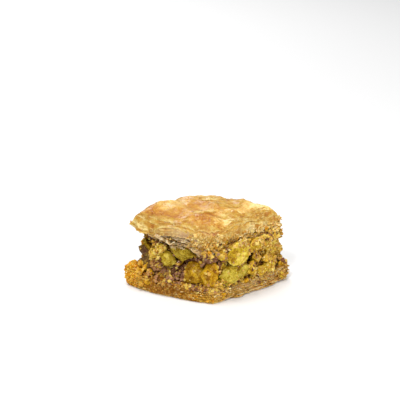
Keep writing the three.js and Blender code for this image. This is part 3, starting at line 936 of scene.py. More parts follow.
# Where the bake is darker, or paler: x, y, spread and how much of each. The two pale spots left of the
# middle, at (-11.5, 5.5) and (-11.4, -2.3), are painted highlight.
BAKE_AND_PAINTED_HIGHLIGHT_SPOTS = [
    (-2.5, -14.0, 3.0, 1.4), (-2.0, -8.0, 4.5, 0.8), (-16.5, -8.0, 3.5, 1.1), (-22.0, -2.0, 5.0, 0.6),
    (15.0, -3.0, 4.0, 0.5), (-7.0, -20.0, 4.0, 0.9), (2.0, -21.0, 4.0, 1.1), (-11.5, 5.5, 4.5, -1.0),
    (-11.4, -2.3, 3.2, -0.2), (-18.5, 0.5, 3.5, -0.9), (13.0, -9.0, 8.0, -1.5), (6.7, -14.0, 3.0, -0.9),
    (22.0, -3.0, 7.0, -1.6), (10.0, 18.0, 6.0, -0.9), (-6.0, 19.0, 6.0, -0.9),
]
SIDE_REACH = 20  # from the middle of the lid straight out to a cut side
BLISTERS = 13
BLISTERED_LENGTH = 22
BLISTERED_WIDTH = 16.5
SMALL_BLISTERS = 70
CRUST_LENGTH = 28  # room for the small blisters, from the middle of the lid
CRUST_WIDTH = 21
GOLDEN_ANGLE = math.pi * (3 - math.sqrt(5))
RIM_RINGS = 56
CROWN_RINGS = 50
RIM_ZONE = 0.66  # the share from which the rings lie closer

lid_cut = cut_outline(32.2, 25.6, LID_CENTRE, 1.14, 0.28, 2.3)


def rim_height(turn):
    turns, heights = zip(*RIM_HEIGHTS)
    return np.interp(turn % 1, turns, heights)


def lid_edge(x, y):
    waves = EDGE_WAVE * np.sin(x / 2.6 + y / 3.4)
    return LID_EDGE + waves + swellings(EDGE_SWELLINGS, x, y)


def small_blisters(x, y):
    pick = random.Random(31)
    height = 0 * x
    for _ in range(SMALL_BLISTERS):
        out = math.sqrt(pick.random()) * 0.95
        angle = pick.uniform(0, TURN)
        at_x = LID_CENTRE + out * CRUST_LENGTH * math.cos(angle)
        at_y = out * CRUST_WIDTH * math.sin(angle)
        spread = pick.uniform(0.9, 2.2)
        height = height + pick.uniform(0.1, 0.32) * spread * swell(x, y, at_x, at_y, spread)
    return height


def wrinkles(x, y):
    """Creases that run along the piece and wander, with sharp crests."""
    long_way = (x + 2.5 * patches(x, y, 9, 71, 2)) * 0.35
    short_way = y + 2.5 * patches(x, y, 9, 72, 2)
    creases = 1 - 2 * np.abs(patches(long_way, short_way, 2.6, 73))
    fine = 1 - 2 * np.abs(patches(long_way * 1.2, short_way, 1.1, 74, 2))
    return creases, fine


def sheet_steps(x, y):
    """Edges of flaked sheets: a rise of one sheet at each, with a slightly curled lip."""
    field = patches(x, y, 11, 81, 4) + 0.12 * patches(x, y, 2.5, 82)
    height = 0 * x
    lip = 0 * x
    for at in (-0.42, -0.2, 0.02, 0.24, 0.46):
        height = height + fade(field, at, at + 0.03)
        lip = lip + np.exp(-(((field - at - 0.04) / 0.035) ** 2))
    return height, lip


def crust_height(x, y, share):
    share = np.clip(share, 0, 1)
    dome = (CROWN - 1 - LID_EDGE) * (1 - share**PILLOW)
    relief = swellings(big_blisters + LEFT_PUFFS + BACK_PUFFS, x, y)
    return lid_edge(x, y) + dome + relief * (1 - share**8)


def rim_pull(turn):
    """How far the rim of the crust stands back from the cut: least at the left corner."""
    pull = 1.0 - 0.9 * near(turn, 0.5, 0.06) - 0.4 * near(turn, 0.0, 0.03)
    return pull + 0.8 * near(turn, 0.82, 0.06)


def rim_sheets(inset, x, y):
    """The sheets end one after another towards the rim, each in a ragged step with a fine lip."""
    drop = 0 * x
    lip = 0 * x
    for index, at in enumerate((0.5, 1.1, 1.9, 3.0, 4.4, 6.2)):
        wander = 0.28 * at * patches(x, y, 4.5, 150 + index) + 0.12 * patches(x, y, 1.1, 160 + index, 2)
        drop = drop + 1 - fade(inset + wander, at - 0.08, at + 0.1)
        lip = lip + np.exp(-(((inset + wander - at - 0.22) / 0.2) ** 2))
    return drop, lip


big_blisters = []
for i in range(BLISTERS):
    out = math.sqrt((i + 0.5) / BLISTERS)
    at_x = LID_CENTRE + out * BLISTERED_LENGTH * math.cos(i * GOLDEN_ANGLE)
    at_y = out * BLISTERED_WIDTH * math.sin(i * GOLDEN_ANGLE)
    big_blisters.append((at_x, at_y, 3.2 + 1.6 * math.sin(i * 2.4), 0.7 + 0.5 * math.cos(i * 1.7)))

# The sheet runs from the crown to the rim, turns under it, and closes over the leaves below.
crust_shares = [RIM_ZONE * i / CROWN_RINGS for i in range(CROWN_RINGS)]
crust_shares += [RIM_ZONE + (0.99 - RIM_ZONE) * i / RIM_RINGS for i in range(RIM_RINGS + 1)]
crust_drops = [0] * len(crust_shares) + [0, 0.06, 0.22, 0.3, 0.36, 0.45]
crust_shares += [0.996, 1.0, 1.0, 0.985, 0.96, 0.93]
crust_on_top = [True] * len(crust_shares) + [False] * 6
crust_lifts = [0] * len(crust_shares) + [0.9, 0.5, 0, 0, 0, 0]
crust_drops += [0] * 6
crust_shares += [0.9, 0.9, 0.9, 0.8, 0.5, 0]

profiles = (crust_shares, crust_drops, crust_lifts, crust_on_top)
crust, turn, share, drop, wall_lift, on_top = wrapped_sheet("crust", 620, *profiles)
x, y = on_cut(lid_cut, turn, share)
ragged = 0.5 * patches(x, y, 3.4, 91) + 0.4 * patches(x, y, 1.2, 92, 2)
bites = fade(patches(x, y, 7, 93, 2), 0.2, 0.55)
rim = fade(share, 0.9, 1)
edge = rim * (np.minimum(ragged - 0.8 * bites, 0.4) - rim_pull(turn))
x, y = pushed(lid_cut, turn, x, y, edge)
creases, fine_creases = wrinkles(x, y)
steps, lips = sheet_steps(x, y)
inset = SIDE_REACH * (1 - share)
rim_drop, rim_lips = rim_sheets(inset, x, y)
flaky = 0.2 + 0.8 * fade(0.5 * x - 0.8 * y, -4, 14)
crinkled = fade(0.5 * x - 0.8 * y, 2, 16)
blistered = small_blisters(x, y)
surface = crust_height(x, y, share) - 0.3
surface = surface + (0.25 + 0.75 * fade(share, 1, 0.94)) * blistered
surface = surface + flaky * (0.24 * creases + (0.08 + 0.14 * crinkled) * fine_creases)
surface = surface + flaky * (0.14 * (steps - 2.5) + 0.12 * lips)
surface = surface - 0.2 * rim_drop + 0.11 * rim_lips
surface = surface + rim * 0.3 * patches(x, y, 3.0, 95, 2)
rim_z = rim_height(turn)
fallen = lid_edge(x, y) - 0.3 - 1.2 - rim_z
surface = surface - fade(share, 0.7, 1) ** 1.5 * np.maximum(fallen, -0.6)
under = lid_under(x, y) + 0.1
walled = under + (np.maximum(rim_z - 0.6, under + 0.4) - under) * wall_lift
z = np.where(on_top, surface - drop, walled)
move_points(crust, x, y, z)

bake = 0.52 + 0.22 * patches(x, y, 9, 101)
bake = bake + 0.28 * swellings(BAKE_AND_PAINTED_HIGHLIGHT_SPOTS, x, y) + 0.12 * blistered
bake = bake - flaky * (0.12 * creases + 0.16 * lips) - 0.16 * rim_lips + 0.03 * rim_drop
# Painted highlight: on the right and at the front, the crests of the fine creases are made paler, as if lit.
bake = bake - 0.22 * crinkled * (fine_creases - 0.3)
pale_tip = near(turn, 0.535, 0.07) * fade(inset, 2.8, 0.8)
note(
    crust,
    bake=bake - pale_tip * (0.15 + 0.5 * rim_lips) - 0.3 * fade(share, 0.985, 0.996),
    # Painted sheen: a paler, greyer cast near the rim towards the front corner.
    frosted=0.5 * near(turn, 0.69, 0.07) * fade(inset, 6.5, 1.5),
    near_rim=fade(share, 0.72, 0.86),
    along=turn * lid_cut["length"],
    across=inset + 0.9 * z,
)
close_up(crust)

BAKED = (
    (0.0, 0.87, 0.65, 0.28),
    (0.25, 0.73, 0.465, 0.13),
    (0.5, 0.56, 0.28, 0.036),
    (0.75, 0.45, 0.17, 0.018),
    (1.0, 0.3, 0.09, 0.008),
)
baked_crust = Finish("baked crust", 2.4, 0.55, 0.75, shine=0.18, film_blur=0.27)


def drawn_noise(finish, **settings):
    """Noise drawn out along the piece on top of the crust, and along the cut near its rim."""
    place = finish.add("TexCoord").outputs["Object"]
    on_top = finish.add("Mapping", {"Vector": place, "Scale": (0.4 / MM, 1 / MM, 1 / MM)})
    at_rim = finish.add("CombineXYZ", {"X": finish.times("along", 0.4), "Y": "across"})
    kept = finish.reckon("SUBTRACT", 1.0, "near_rim")
    shares = []
    for place, share in ((on_top, kept), (at_rim, "near_rim")):
        wires = {"Vector": place.outputs[0], "Roughness": 0.62, **settings}
        shares.append(finish.times(finish.add("TexNoise", wires).outputs["Fac"], share))
    return finish.reckon("ADD", *shares)


streaks = drawn_noise(baked_crust, Scale=0.8, Detail=4.0, Distortion=0.6)
# Painted highlight: the finest streaks make the crust's colour paler, standing for glints on its flaky
# sheets; they also add to its bumps.
streaks_and_painted_glints = drawn_noise(baked_crust, Scale=3.2, Detail=3.0, Distortion=0.3)
streaks_and_painted_glints = baked_crust.reckon("SUBTRACT", streaks_and_painted_glints, 0.52)
streaks_and_painted_glints = baked_crust.times(streaks_and_painted_glints, 4.0, clamp=True)
browning = baked_crust.total(-0.77, bake=1.0, Patches=0.8, Grain=0.2)
browning = baked_crust.reckon("ADD", browning, baked_crust.times(streaks, 0.7))
browning = baked_crust.reckon("SUBTRACT", browning, baked_crust.times(streaks_and_painted_glints, 0.5))
# Painted sheen: near the front rim the crust is blended towards a paler, greyer colour that stands for the
# sheen on its broken flakes.
colour = baked_crust.blend("frosted", baked_crust.ramp(browning, BAKED), (0.64, 0.46, 0.28))
height = baked_crust.reckon("ADD", baked_crust.total(0.0, Height=0.12), streaks)
height = baked_crust.reckon("ADD", height, baked_crust.times(streaks_and_painted_glints, 0.3))
baked_crust.paint(colour, 0.26, (0.25, 1.6, 1.0, 0.5, 0.2), height=height)
finish_piece(crust, baked_crust, "crisp_pastry", "pastry_lid")

# ---------------------------------------------------------------------------
# Lid leaves. Under the crust the sheets stay pale and part at the cut sides, each one with
# its own ragged, wavy edge. They fan out at the right corner and hang at the front one.

LID_LEAVES = 8


def lid_leaf(index):
    """The lower leaves are crushed outwards, but at the left corner the upper ones stick out."""
    share = (index + 0.3) / LID_LEAVES
    level = index / (LID_LEAVES - 1)

    def height(turn, x, y):
        low = lid_under(x, y) + 0.1
        return low + (np.maximum(rim_height(turn) - 0.5, low + 1.2) - low) * share

    def reach(turn, x, y):
        tip = near(turn, 0.5, 0.07)
        out = (0.5 - 1.0 * level) * (1 - tip) + (-4.5 + 4.3 * level) * tip
        out = out - 1.6 * near(turn, 0.82, 0.05) - 1.8 * near(turn, 0.905, 0.028)
        out = out + 1.4 * near(turn, 0.965, 0.03)
        return out - 0.6 + 0.6 * patches(x, y, 5, 120 + index, 2)

    def curl(turn):
        along = np.sin(TURN * turn * (5 + index % 4) + index * 1.9)
        return 0.35 * along + 1.6 * (level - 0.3) * near(turn, 0.915, 0.03)

    sizes = {"thick": 0.22, "deep": 4.4, "wave": 0.4}
    return make_leaf(lid_cut, 680, 140 + index, height, reach, curl=curl, **sizes)


lid_leaves = join_pieces("lid_leaves", [lid_leaf(index) for index in range(LID_LEAVES)])

pale_leaf = Finish("pale leaf", 2.6, 0.5, 0.25, shine=0.2)
PALE = ((0.3, 0.12, 0.055, 0.02), (0.52, 0.38, 0.24, 0.12), (0.78, 0.84, 0.69, 0.48))
colour = pale_leaf.ramp(pale_leaf.total(0.0, Patches=0.8, tint=0.35), PALE)
toasted = pale_leaf.times(pale_leaf.reckon("POWER", "edge", 4.0), 0.35)
toasted = pale_leaf.reckon("ADD", toasted, pale_leaf.total(0.0, golden=0.8), clamp=True)
colour = pale_leaf.blend(toasted, colour, (0.8, 0.53, 0.19))
# Painted shade: away from their edges, between one another, the leaves are darkened and their sheen is
# turned down, less where they fan out golden at the right corner.
inside = pale_leaf.times(pale_leaf.total(0.97, edge=-1.0), 3.0, clamp=True)
inside = pale_leaf.times(inside, pale_leaf.total(1.0, golden=-1.0))
colour = pale_leaf.blend(inside, colour, (0.3, 0.14, 0.04), "MULTIPLY")
pale_leaf.paint(colour, 0.06, (0.35, 1.4, 1.0, 0.6, 0.3), inside)
finish_piece(lid_leaves, pale_leaf, "crisp_pastry")

# ---------------------------------------------------------------------------
# Flakes. Thin shards of the top sheets that have cracked loose and lie on the crust, held
# along one side and lifted at the other.

SHEET = 0.13  # thickness of one crisp sheet
# Each flake: x, y, length, width, heading in degrees, and how high its loose side stands.
FLAKES = [
    (9, -9, 14, 6, 8, 0.3),
    (19, -5, 9, 6, 60, 0.35),
    (-2, -6, 12, 6, 15, 0.12),
    (9, 2, 15, 9, 10, 0.15),
    (3, 10, 14, 8, 5, 0.12),
    (13, 8, 10, 7, -40, 0.18),
]
# Each peel: the turns it runs between, how far its edge lies in from the rim at its ends, how
# much further in at its middle, how wide it is and how high its edge stands.
PEELS = [
    (0.485, 0.56, 1.2, 0.2, 2.0, 0.12), (0.5, 0.6, 2.2, 0.3, 2.2, 0.15), (0.53, 0.64, 3.6, 0.4, 2.6, 0.15),
    (0.57, 0.68, 1.5, 0.4, 2.2, 0.2), (0.62, 0.71, 2.8, 0.5, 2.6, 0.2), (0.66, 0.735, 1.6, 0.3, 2.0, 0.3),
    (0.7, 0.79, 3.0, 0.6, 2.2, 0.25), (0.755, 0.86, 1.0, 0.6, 2.0, 0.35), (0.78, 0.92, 2.0, 0.8, 1.8, 0.5),
    (0.84, 0.96, 0.9, 0.9, 1.8, 0.5), (0.85, 0.975, 1.6, 1.3, 1.8, 0.5), (0.86, 0.985, 2.5, 1.6, 1.8, 0.45),
    (0.87, 0.99, 3.6, 1.8, 2.0, 0.4), (0.9, 0.99, 0.8, 0.5, 1.6, 0.4), (0.94, 1.0, 1.2, 0.5, 1.6, 0.3),
    (0.82, 0.9, 4.2, -1.4, 1.2, 0.35), (0.83, 0.93, 5.4, -1.6, 1.2, 0.35), (0.88, 0.95, 4.6, -0.8, 1.0, 0.4),
    (0.91, 0.97, 3.2, -0.8, 1.0, 0.4), (0.02, 0.1, 1.8, 0.8, 2.4, 0.5), (0.07, 0.17, 2.8, 0.8, 2.6, 0.4),
    (0.14, 0.23, 1.8, 0.5, 2.2, 0.5), (0.21, 0.29, 1.9, 0.6, 2.4, 0.5), (0.28, 0.38, 1.8, 1.0, 2.2, 0.5),
    (0.33, 0.42, 2.8, 0.8, 2.6, 0.4), (0.4, 0.48, 1.8, 0.6, 2.4, 0.4),
]

crust_ground = ground_of(crust)


def top_of_crust(x, y, lowest):
    """The height of the crust at each place, but no lower than is given for it."""
    z = []
    for one_x, one_y, low in zip(x, y, lowest):
        hit = crust_ground.ray_cast(Vector((one_x, one_y, 60)), Vector((0, 0, -1)))[0]
        z.append(low if hit is None else max(hit.z, low))
    return np.array(z)


def lay_flake(index, at_x, at_y, long, wide, heading, lift):
    """One flake: a sheet torn to a ragged oval, which follows the crust and lifts at one side."""
    flake = flat_sheet("flake", 64, 40)
    u, v, _ = points_of(flake)
    angle = np.arctan2(v, u)
    torn = 0.85 + 0.22 * patches(np.cos(angle), np.sin(angle), 0.55, index * 3.1, 4)
    bpy.ops.object.mode_set(mode="EDIT")
    bpy.ops.mesh.select_all(action="DESELECT")
    bpy.ops.object.mode_set(mode="OBJECT")
    for vertex, outside in zip(flake.data.vertices, np.hypot(u, v) > torn):
        vertex.select = bool(outside)
    bpy.ops.object.mode_set(mode="EDIT")
    bpy.ops.mesh.delete(type="VERT")
    bpy.ops.object.mode_set(mode="OBJECT")
    u, v, _ = points_of(flake)
    along = u * long / 2
    across = v * wide / 2
    turned = math.radians(heading)
    x = at_x + along * math.cos(turned) - across * math.sin(turned)
    y = at_y + along * math.sin(turned) + across * math.cos(turned)
    raised = lift * fade(v, -0.3, 1.0) * (1 + 0.6 * patches(x, y, 4, index, 2))
    buckle = np.maximum(0.12 * patches(x, y, 2.2, index + 5), -0.08)
    z = top_of_crust(x, y, np.full(len(x), 20))
    move_points(flake, x, y, z + 0.14 + raised + buckle)
    note(flake, bake=0.4 + 0.25 * patches(x, y, 5, index + 9, 2) - 0.1 * raised)
    apply_modifier(flake, "SOLIDIFY", thickness=SHEET * MM, offset=0)
    return flake


def peel(index, start, end, inset, bow, wide, lift):
    """A sheet that has peeled along the rim, from one turn to another, with its edge lifted."""
    piece = flat_sheet("peel", 60, 12)
    u, v, _ = (points_of(piece) + 1) / 2
    middle = 1 - (2 * u - 1) ** 2
    turn = start + (end - start) * u
    ragged = patches(u * (end - start) * lid_cut["length"], 0 * u, 1.6, index * 2.3)
    torn = v * (0.1 + 0.08 * inset) * ragged * middle**0.5
    inset_here = inset + bow * middle + wide * (0.15 + 0.85 * middle**0.5) * (1 - v) + torn
    x, y = on_cut(lid_cut, turn, 1 - inset_here / SIDE_REACH)
    z = top_of_crust(x, y, rim_height(turn))
    raised = lift * middle**0.7 * v**2 * (1 + 0.5 * patches(x, y, 2.5, index, 2))
    ripple = 0.1 * v * patches(x, y, 1.3, index + 3, 2)
    move_points(piece, x, y, z + 0.1 + raised + ripple)
    note(
        piece,
        bake=0.5 - 0.35 * v**5 + 0.2 * patches(x, y, 4, index + 9, 2),
        near_rim=np.ones(len(x)),
        along=turn * lid_cut["length"],
        across=inset_here + 0.9 * z,
    )
    apply_modifier(piece, "SOLIDIFY", thickness=SHEET * MM, offset=0)
    return piece


flakes = [lay_flake(index, *flake) for index, flake in enumerate(FLAKES)]
flakes += [peel(30 + index, *shape) for index, shape in enumerate(PEELS)]
crust_flakes = join_pieces("crust_flakes", flakes)
finish_piece(crust_flakes, baked_crust, "crisp_pastry")

# ---------------------------------------------------------------------------
# Crumbs. Ground nut, skin and grains of pastry that stick to the syrup on the cut sides, from
# 0.5 to 3 mm. They lie wherever a side or a ledge catches them.

OUTSIDE = 1.3  # how far out they are thrown from, as a share of the way to the cut
# Single crumbs that catch the eye: turn, height, size, tint and how much caramel covers them.
LONE_CRUMBS = [
    (0.723, 21.2, 2.4, 0.5, 0.7),
    (0.736, 24.0, 1.8, 1.0, 0.0),
    (0.753, 22.4, 2.0, 0.7, 0.5),
    (0.91, 25.4, 1.8, 0.5, 0.8),
    (0.6, 17.3, 2.8, 1.0, 0.0),
    (0.61, 15.4, 2.4, 1.0, 0.0),
    (0.616, 18.6, 2.3, 1.0, 0.0),
    (0.588, 14.2, 2.2, 0.9, 0.2),
]


def crumb_model(index, corners):
    """A crumb about 1 across, with a few flat sides."""
    bpy.ops.mesh.primitive_ico_sphere_add(subdivisions=corners, radius=0.5)
    piece = bpy.context.object
    bpy.ops.object.mode_set(mode="EDIT")
    chop(random.Random(700 + index), 3, 0.25, 0.38)
    bpy.ops.mesh.select_all(action="SELECT")
    bpy.ops.mesh.remove_doubles(threshold=0.06)
    bpy.ops.object.mode_set(mode="OBJECT")
    x, y, z = points_of(piece)
    swollen = 1 + 0.45 * unevenness(x, y, z, 0.4, index)
    return as_model(piece, x * swollen, y * swollen, z * swollen)


def throw_at(ground, turn_at, up, slope):
    """Where something lands that is thrown at a side from outside, and how it faces there."""
    start_x, start_y = on_cut(base_cut, turn_at, OUTSIDE)
    out_x, out_y = outward(base_cut, turn_at)
    aim = Vector((-out_x, -out_y, slope)).normalized()
    return ground.ray_cast(Vector((start_x, start_y, up - 10 * aim.z)), aim)[:2]


def bare_enough(hit, turn_at, pick):
    """The broad faces of the large nuts stay clean, but for those near the right corner."""
    found = large_nut_ground.find_nearest(hit, 0.05)
    return found[0] is None or pick.random() < 0.05 + 0.9 * near(turn_at, 0.95, 0.08)


def scatter(tint, batches):
    """Crumbs thrown at the sides, each of which sticks where it lands. A batch is its count,
    seed, lowest and highest place, smallest and largest size, and first and last turn."""
    spots = []
    for count, seed, low, high, smallest, largest, *turns in batches:
        pick = random.Random(seed)
        wanted = len(spots) + count
        while len(spots) < wanted:
            turn_at = pick.uniform(*turns)
            up = low + (high - low) * pick.random()
            hit, normal = throw_at(whole_ground, turn_at, up, pick.uniform(-0.5, 0.15))
            if hit is None or hit.z > high or hit.z < 0.5 or not bare_enough(hit, turn_at, pick):
                continue
            crushed = max(near(turn_at, 0.78, 0.08), near(turn_at, 0.92, 0.07))
            if hit.z > lid_under(hit.x, hit.y) - 0.3 and crushed < 0.3:
                continue
            size = smallest + (largest - smallest) * pick.random() ** 2
            stretch = (size * pick.uniform(0.7, 1), size * pick.uniform(0.8, 1.3), size * 0.8)
            own_turn = any_turn(pick)
            place = hit - normal * size * 0.05
            place.z = max(place.z, 0.68 * size)
            spot = {
                "model": pick.randrange(100),
                "matrix": Matrix.Translation(place) @ own_turn @ Matrix.Diagonal((*stretch, 1)),
                "notes": {
                    "tint": tint(pick, hit, turn_at, size),
                    "caramel": float(caramel_share(turn_at, *hit)),
                },
            }
            spots.append(spot)
    return spots


def nut_tint(pick, hit, turn_at, size):
    """Ground skins are purple-brown and fine, and the rest is golden to pale yellow."""
    usual = 0.3 - 0.3 * near(turn_at, 0.92, 0.09)
    skins = max(1.4 * skin_share(*np.array([[turn_at], [hit.x], [hit.y], [hit.z]]))[0], usual)
    if pick.random() < skins and (size < 1.6 or pick.random() < 0.7):
        return pick.uniform(0.1, 0.45)
    return pick.uniform(0.45, 1.0)


def base_tint(pick, hit, turn_at, size):
    return 0.2 + 0.6 * pick.random()


coarse_crumbs = [crumb_model(index, 2) for index in range(6)]
fine_crumbs = [crumb_model(30 + index, 1) for index in range(6)]
large_nut_ground = ground_of(large_nuts)
whole_ground = ground_of(slab, base_leaves, paste, large_nuts, small_nuts, lid_leaves, crust)

crumb_spots = scatter(nut_tint, [(170, 1, BASE_HEIGHT - 1, 22.5, 1.2, 2.6, 0, 1)])
crumb_spots += scatter(base_tint, [(70, 4, 1.5, 14, 1.2, 2.8, 0.44, 0.58)])
crumb_batches = [
    (330, 5, 8, 24.5, 1.0, 2.2, 0.86, 1.01),
    (240, 8, 7, 21, 0.9, 2.0, 0.58, 0.86),
    (110, 9, 17.5, 25, 1.0, 2.3, 0.705, 0.79),
    (150, 10, 4.5, 8.5, 0.8, 1.8, 0.58, 0.8),
    (110, 11, 19.5, 24.5, 1.0, 2.3, 0.79, 0.92),
    (150, 12, 7.5, 13.5, 1.0, 2.0, 0.585, 0.66),
]
crumb_spots += scatter(nut_tint, crumb_batches)
pick = random.Random(61)
for turn_at, up, size, tint, glazed in LONE_CRUMBS:
    hit, normal = throw_at(whole_ground, turn_at, up, 0)
    matrix = Matrix.Translation(hit + normal * size * 0.15) @ any_turn(pick)
    matrix = matrix @ Matrix.Diagonal((size, size * 0.85, size * 0.7, 1))
    notes = {"tint": tint, "caramel": glazed}
    crumb_spots.append({"model": pick.randrange(100), "matrix": matrix, "notes": notes})
nut_crumbs = strew("nut_crumbs", coarse_crumbs, crumb_spots)
grit_batches = [(2000, 2, BASE_HEIGHT - 2, 23.5, 0.6, 1.4, 0, 1)]
nut_grit = strew("nut_grit", fine_crumbs, scatter(nut_tint, grit_batches))
base_batches = [
    (1300, 3, 0.6, BASE_HEIGHT + 1.5, 0.5, 1.2, 0.0, 0.8),
    (160, 6, 0.9, BASE_HEIGHT + 1, 0.5, 1.1, 0.8, 1.0),
]
base_grit = strew("base_grit", fine_crumbs, scatter(base_tint, base_batches))

finish = Finish("nut crumb", 1.6, 0.35, 0.7)
CRUMB = (
    (0.0, 0.085, 0.03, 0.012),
    (0.22, 0.2, 0.082, 0.038),
    (0.42, 0.45, 0.24, 0.125),
    (0.5, 0.42, 0.2, 0.014),
    (0.62, 0.68, 0.4, 0.09),
    (0.75, 0.58, 0.34, 0.02),
    (1.0, 0.8, 0.6, 0.16),
)
CARAMEL_CRUMB = ((0.0, 0.5, 0.17, 0.006), (0.5, 0.74, 0.34, 0.01), (1.0, 0.87, 0.57, 0.1))
colour = finish.between("caramel", "tint", CRUMB, CARAMEL_CRUMB)
shade = finish.times(finish.total(-0.4, Patches=1.0), 1.2, clamp=True)
colour = finish.blend(shade, colour, (0.75, 0.7, 0.6), "MULTIPLY")
dark = finish.times(finish.total(0.5, tint=-1.0), 2.0, clamp=True)
finish.paint(colour, 0.08, (0.25, 0.8, 1.0, 0.6, 0.2), dark)
finish_piece(nut_crumbs, finish, "pistachio", smooth=35)
finish_piece(nut_grit, finish, "pistachio", smooth=35)

finish = Finish("pastry crumb", 1.6, 0.35, 0.7)
GRIT = (
    (0.1, 0.16, 0.06, 0.012),
    (0.45, 0.38, 0.16, 0.02),
    (0.75, 0.57, 0.295, 0.05),
    (1.0, 0.75, 0.48, 0.15),
)
CARAMEL_GRIT = ((0.1, 0.52, 0.18, 0.006), (0.5, 0.8, 0.37, 0.012), (0.9, 0.92, 0.62, 0.12))
colour = finish.between("caramel", "tint", GRIT, CARAMEL_GRIT)
finish.paint(colour, 0.08, (0.3, 0.9, 1.0, 0.5, 0.15))
finish_piece(base_grit, finish, "soaked_pastry", smooth=35)

# ---------------------------------------------------------------------------
# Shards. Splinters of the crisp sheets, 1 to 3 mm across, thin and slightly bent. They stick
# where the knife crushed the lid, most of all at the front corner.


def shard_model(index):
    """A splinter about 1 across: a bent scrap of sheet with a ragged outline."""
    piece = flat_sheet("shard", 6, 4, 1)
    x, y, _ = points_of(piece)
    ragged = 1 + 0.5 * patches(x, y, 0.4, index, 2)
    bent = 0.9 * x**2 + 0.25 * patches(x, y, 0.5, index + 7, 2)
    move_points(piece, x * ragged / MM, 0.6 * y * ragged / MM, bent / MM)
    apply_modifier(piece, "SOLIDIFY", thickness=0.09)
    return as_model(piece, *points_of(piece))


def stick(ground, batches, slim=1, loose=TURN, lift=0.3):
    """Splinters that stick to a side, each turned by up to loose from lying along the cut. A
    batch is its count, seed, first and last turn, lowest and highest place, and sizes."""
    spots = []
    for count, seed, first, last, low, high, smallest, largest in batches:
        pick = random.Random(seed)
        wanted = len(spots) + count
        while len(spots) < wanted:
            turn_at = pick.uniform(first, last)
            hit, normal = throw_at(ground, turn_at, pick.uniform(low, high), -0.4)
            if hit is None or hit.z > high or hit.z < low:
                continue
            size = smallest + (largest - smallest) * pick.random() ** 2
            lean = Euler((pick.gauss(0, lift), pick.gauss(0, lift), pick.uniform(-loose, loose)))
            facing = normal.to_track_quat("Z", "Y").to_matrix().to_4x4()
            matrix = Matrix.Translation(hit + normal * 0.12) @ facing @ lean.to_matrix().to_4x4()
            spot = {
                "model": pick.randrange(100),
                "matrix": matrix @ Matrix.Diagonal((size, size * slim, size, 1)),
                "notes": {"bake": pick.uniform(0, 0.5), "tint": pick.random()},
            }
            spots.append(spot)
    return spots


shards = [shard_model(index) for index in range(6)]
rim_ground = ground_of(crust, crust_flakes, lid_leaves, paste, large_nuts)
shard_batches = [
    (200, 51, 0.67, 0.8, 22.2, 28.5, 0.9, 2.4),
    (200, 52, 0.8, 1.0, 21, 27, 0.9, 2.4),
    (150, 58, 0.945, 1.03, 19.5, 28.5, 0.9, 2.6),
    (40, 53, 0.56, 0.69, 21.5, 24.5, 0.8, 1.8),
    (160, 54, 0.0, 0.5, 21.5, 27, 0.9, 2.4),
]
rim_shards = strew("rim_shards", shards, stick(rim_ground, shard_batches))

finish = Finish("wet flake", 1.2, 0.35, 1.3)
browning = finish.total(-0.15, bake=1.0, Patches=0.4)
finish.paint(finish.ramp(browning, BAKED), 0.12, (0.3, 0.8, 1.0, 0.5, 0.2))
finish_piece(rim_shards, finish, "crisp_pastry")

# Scraps of the pale leaves that hang from the left side of the lid.
scraps = stick(rim_ground, [(34, 59, 0.575, 0.71, 20.5, 24.6, 1.8, 3.6)], slim=0.7, loose=0.6, lift=0.35)
for spot in scraps:
    spot["notes"].update({"edge": 1.0, "golden": 0.0})
hanging_scraps = strew("hanging_scraps", shards, scraps)
finish_piece(hanging_scraps, pale_leaf, "crisp_pastry")

# Splinters along the cut sides of the base.
side_ground = ground_of(slab, base_leaves)
splinters = []
for slim, loose, lift, batch in (
    (0.35, 0.25, 0.1, (130, 55, 0.77, 0.98, 0.6, 7, 1.2, 3.4)),
    (0.4, 0.5, 0.12, (25, 56, 0.58, 0.76, 0.6, 6, 1.0, 2.4)),
    (0.35, 0.3, 0.1, (110, 57, 0.02, 0.46, 0.6, 7, 1.0, 3.0)),
):
    splinters += stick(side_ground, [batch], slim, loose, lift)
base_splinters = strew("base_splinters", shards, splinters)
finish_piece(base_splinters, soaked_leaf, "soaked_pastry")

# ---------------------------------------------------------------------------
# Studio. A plain white table, a large soft light above and to the left, weaker ones from the
# side and behind, and a camera low enough to see the two front sides.

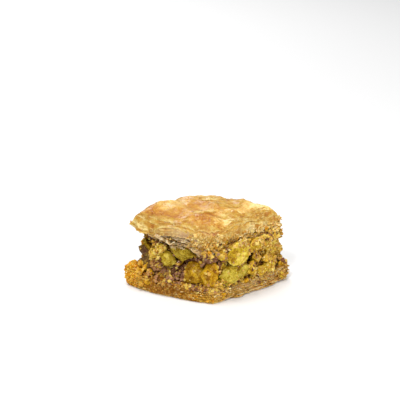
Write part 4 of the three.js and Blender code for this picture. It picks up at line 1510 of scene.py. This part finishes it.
TABLE_WHITE = 0.86
SKY_STRENGTH = 0.22
LIGHTS = {  # place, size and watts of each
    "top": ((-0.1, -0.05, 0.8), 0.35, 3.3),
    "key": ((-0.25, -0.6, 0.6), 0.14, 4.0),
    "side": ((0.6, -0.45, 0.35), 0.2, 2.8),
    "back": ((-0.12, 0.67, 0.47), 0.4, 2.6),
}
CAMERA_AZIMUTH = math.radians(-5.7)
CAMERA_ELEVATION = math.radians(21)
CAMERA_DISTANCE = 0.7
CAMERA_LENS = 148.95
AIM_LEFT = 0.0033  # how far left of the middle of the piece the camera looks
AIM_UP = 0.0342

bpy.ops.mesh.primitive_plane_add(size=3)
table = bpy.context.object
table.name = "white_table"
table_finish = bpy.data.materials.new("white table")
table_finish.use_nodes = True
shader = table_finish.node_tree.nodes["Principled BSDF"].inputs
shader["Base Color"].default_value = (TABLE_WHITE, TABLE_WHITE, TABLE_WHITE, 1)
shader["Roughness"].default_value = 0.6
shader["Specular IOR Level"].default_value = 0.2
table.data.materials.append(table_finish)

world = bpy.data.worlds.new("studio")
bpy.context.scene.world = world
world.use_nodes = True
sky = world.node_tree.nodes["Background"].inputs
sky["Color"].default_value = (1, 1, 1, 1)
sky["Strength"].default_value = SKY_STRENGTH

for name, (place, size, watts) in LIGHTS.items():
    data = bpy.data.lights.new(name, "AREA")
    data.size = size
    data.energy = watts
    light = bpy.data.objects.new(name, data)
    light.location = place
    light.rotation_euler = (-Vector(place)).to_track_quat("-Z", "Y").to_euler()
    bpy.context.scene.collection.objects.link(light)

level_reach = math.cos(CAMERA_ELEVATION)
back_x = math.sin(CAMERA_AZIMUTH) * level_reach
back_y = -math.cos(CAMERA_AZIMUTH) * level_reach
back = Vector((back_x, back_y, math.sin(CAMERA_ELEVATION)))
right = Vector((math.cos(CAMERA_AZIMUTH), math.sin(CAMERA_AZIMUTH), 0))
aim = back.cross(right) * AIM_UP - right * AIM_LEFT
camera_data = bpy.data.cameras.new("camera")
camera_data.sensor_width = 36
camera_data.lens = CAMERA_LENS
camera = bpy.data.objects.new("camera", camera_data)
camera.location = back * CAMERA_DISTANCE
camera.rotation_euler = (aim - camera.location).to_track_quat("-Z", "Y").to_euler()
bpy.context.scene.collection.objects.link(camera)
bpy.context.scene.camera = camera
bpy.context.scene.view_settings.view_transform = "Standard"
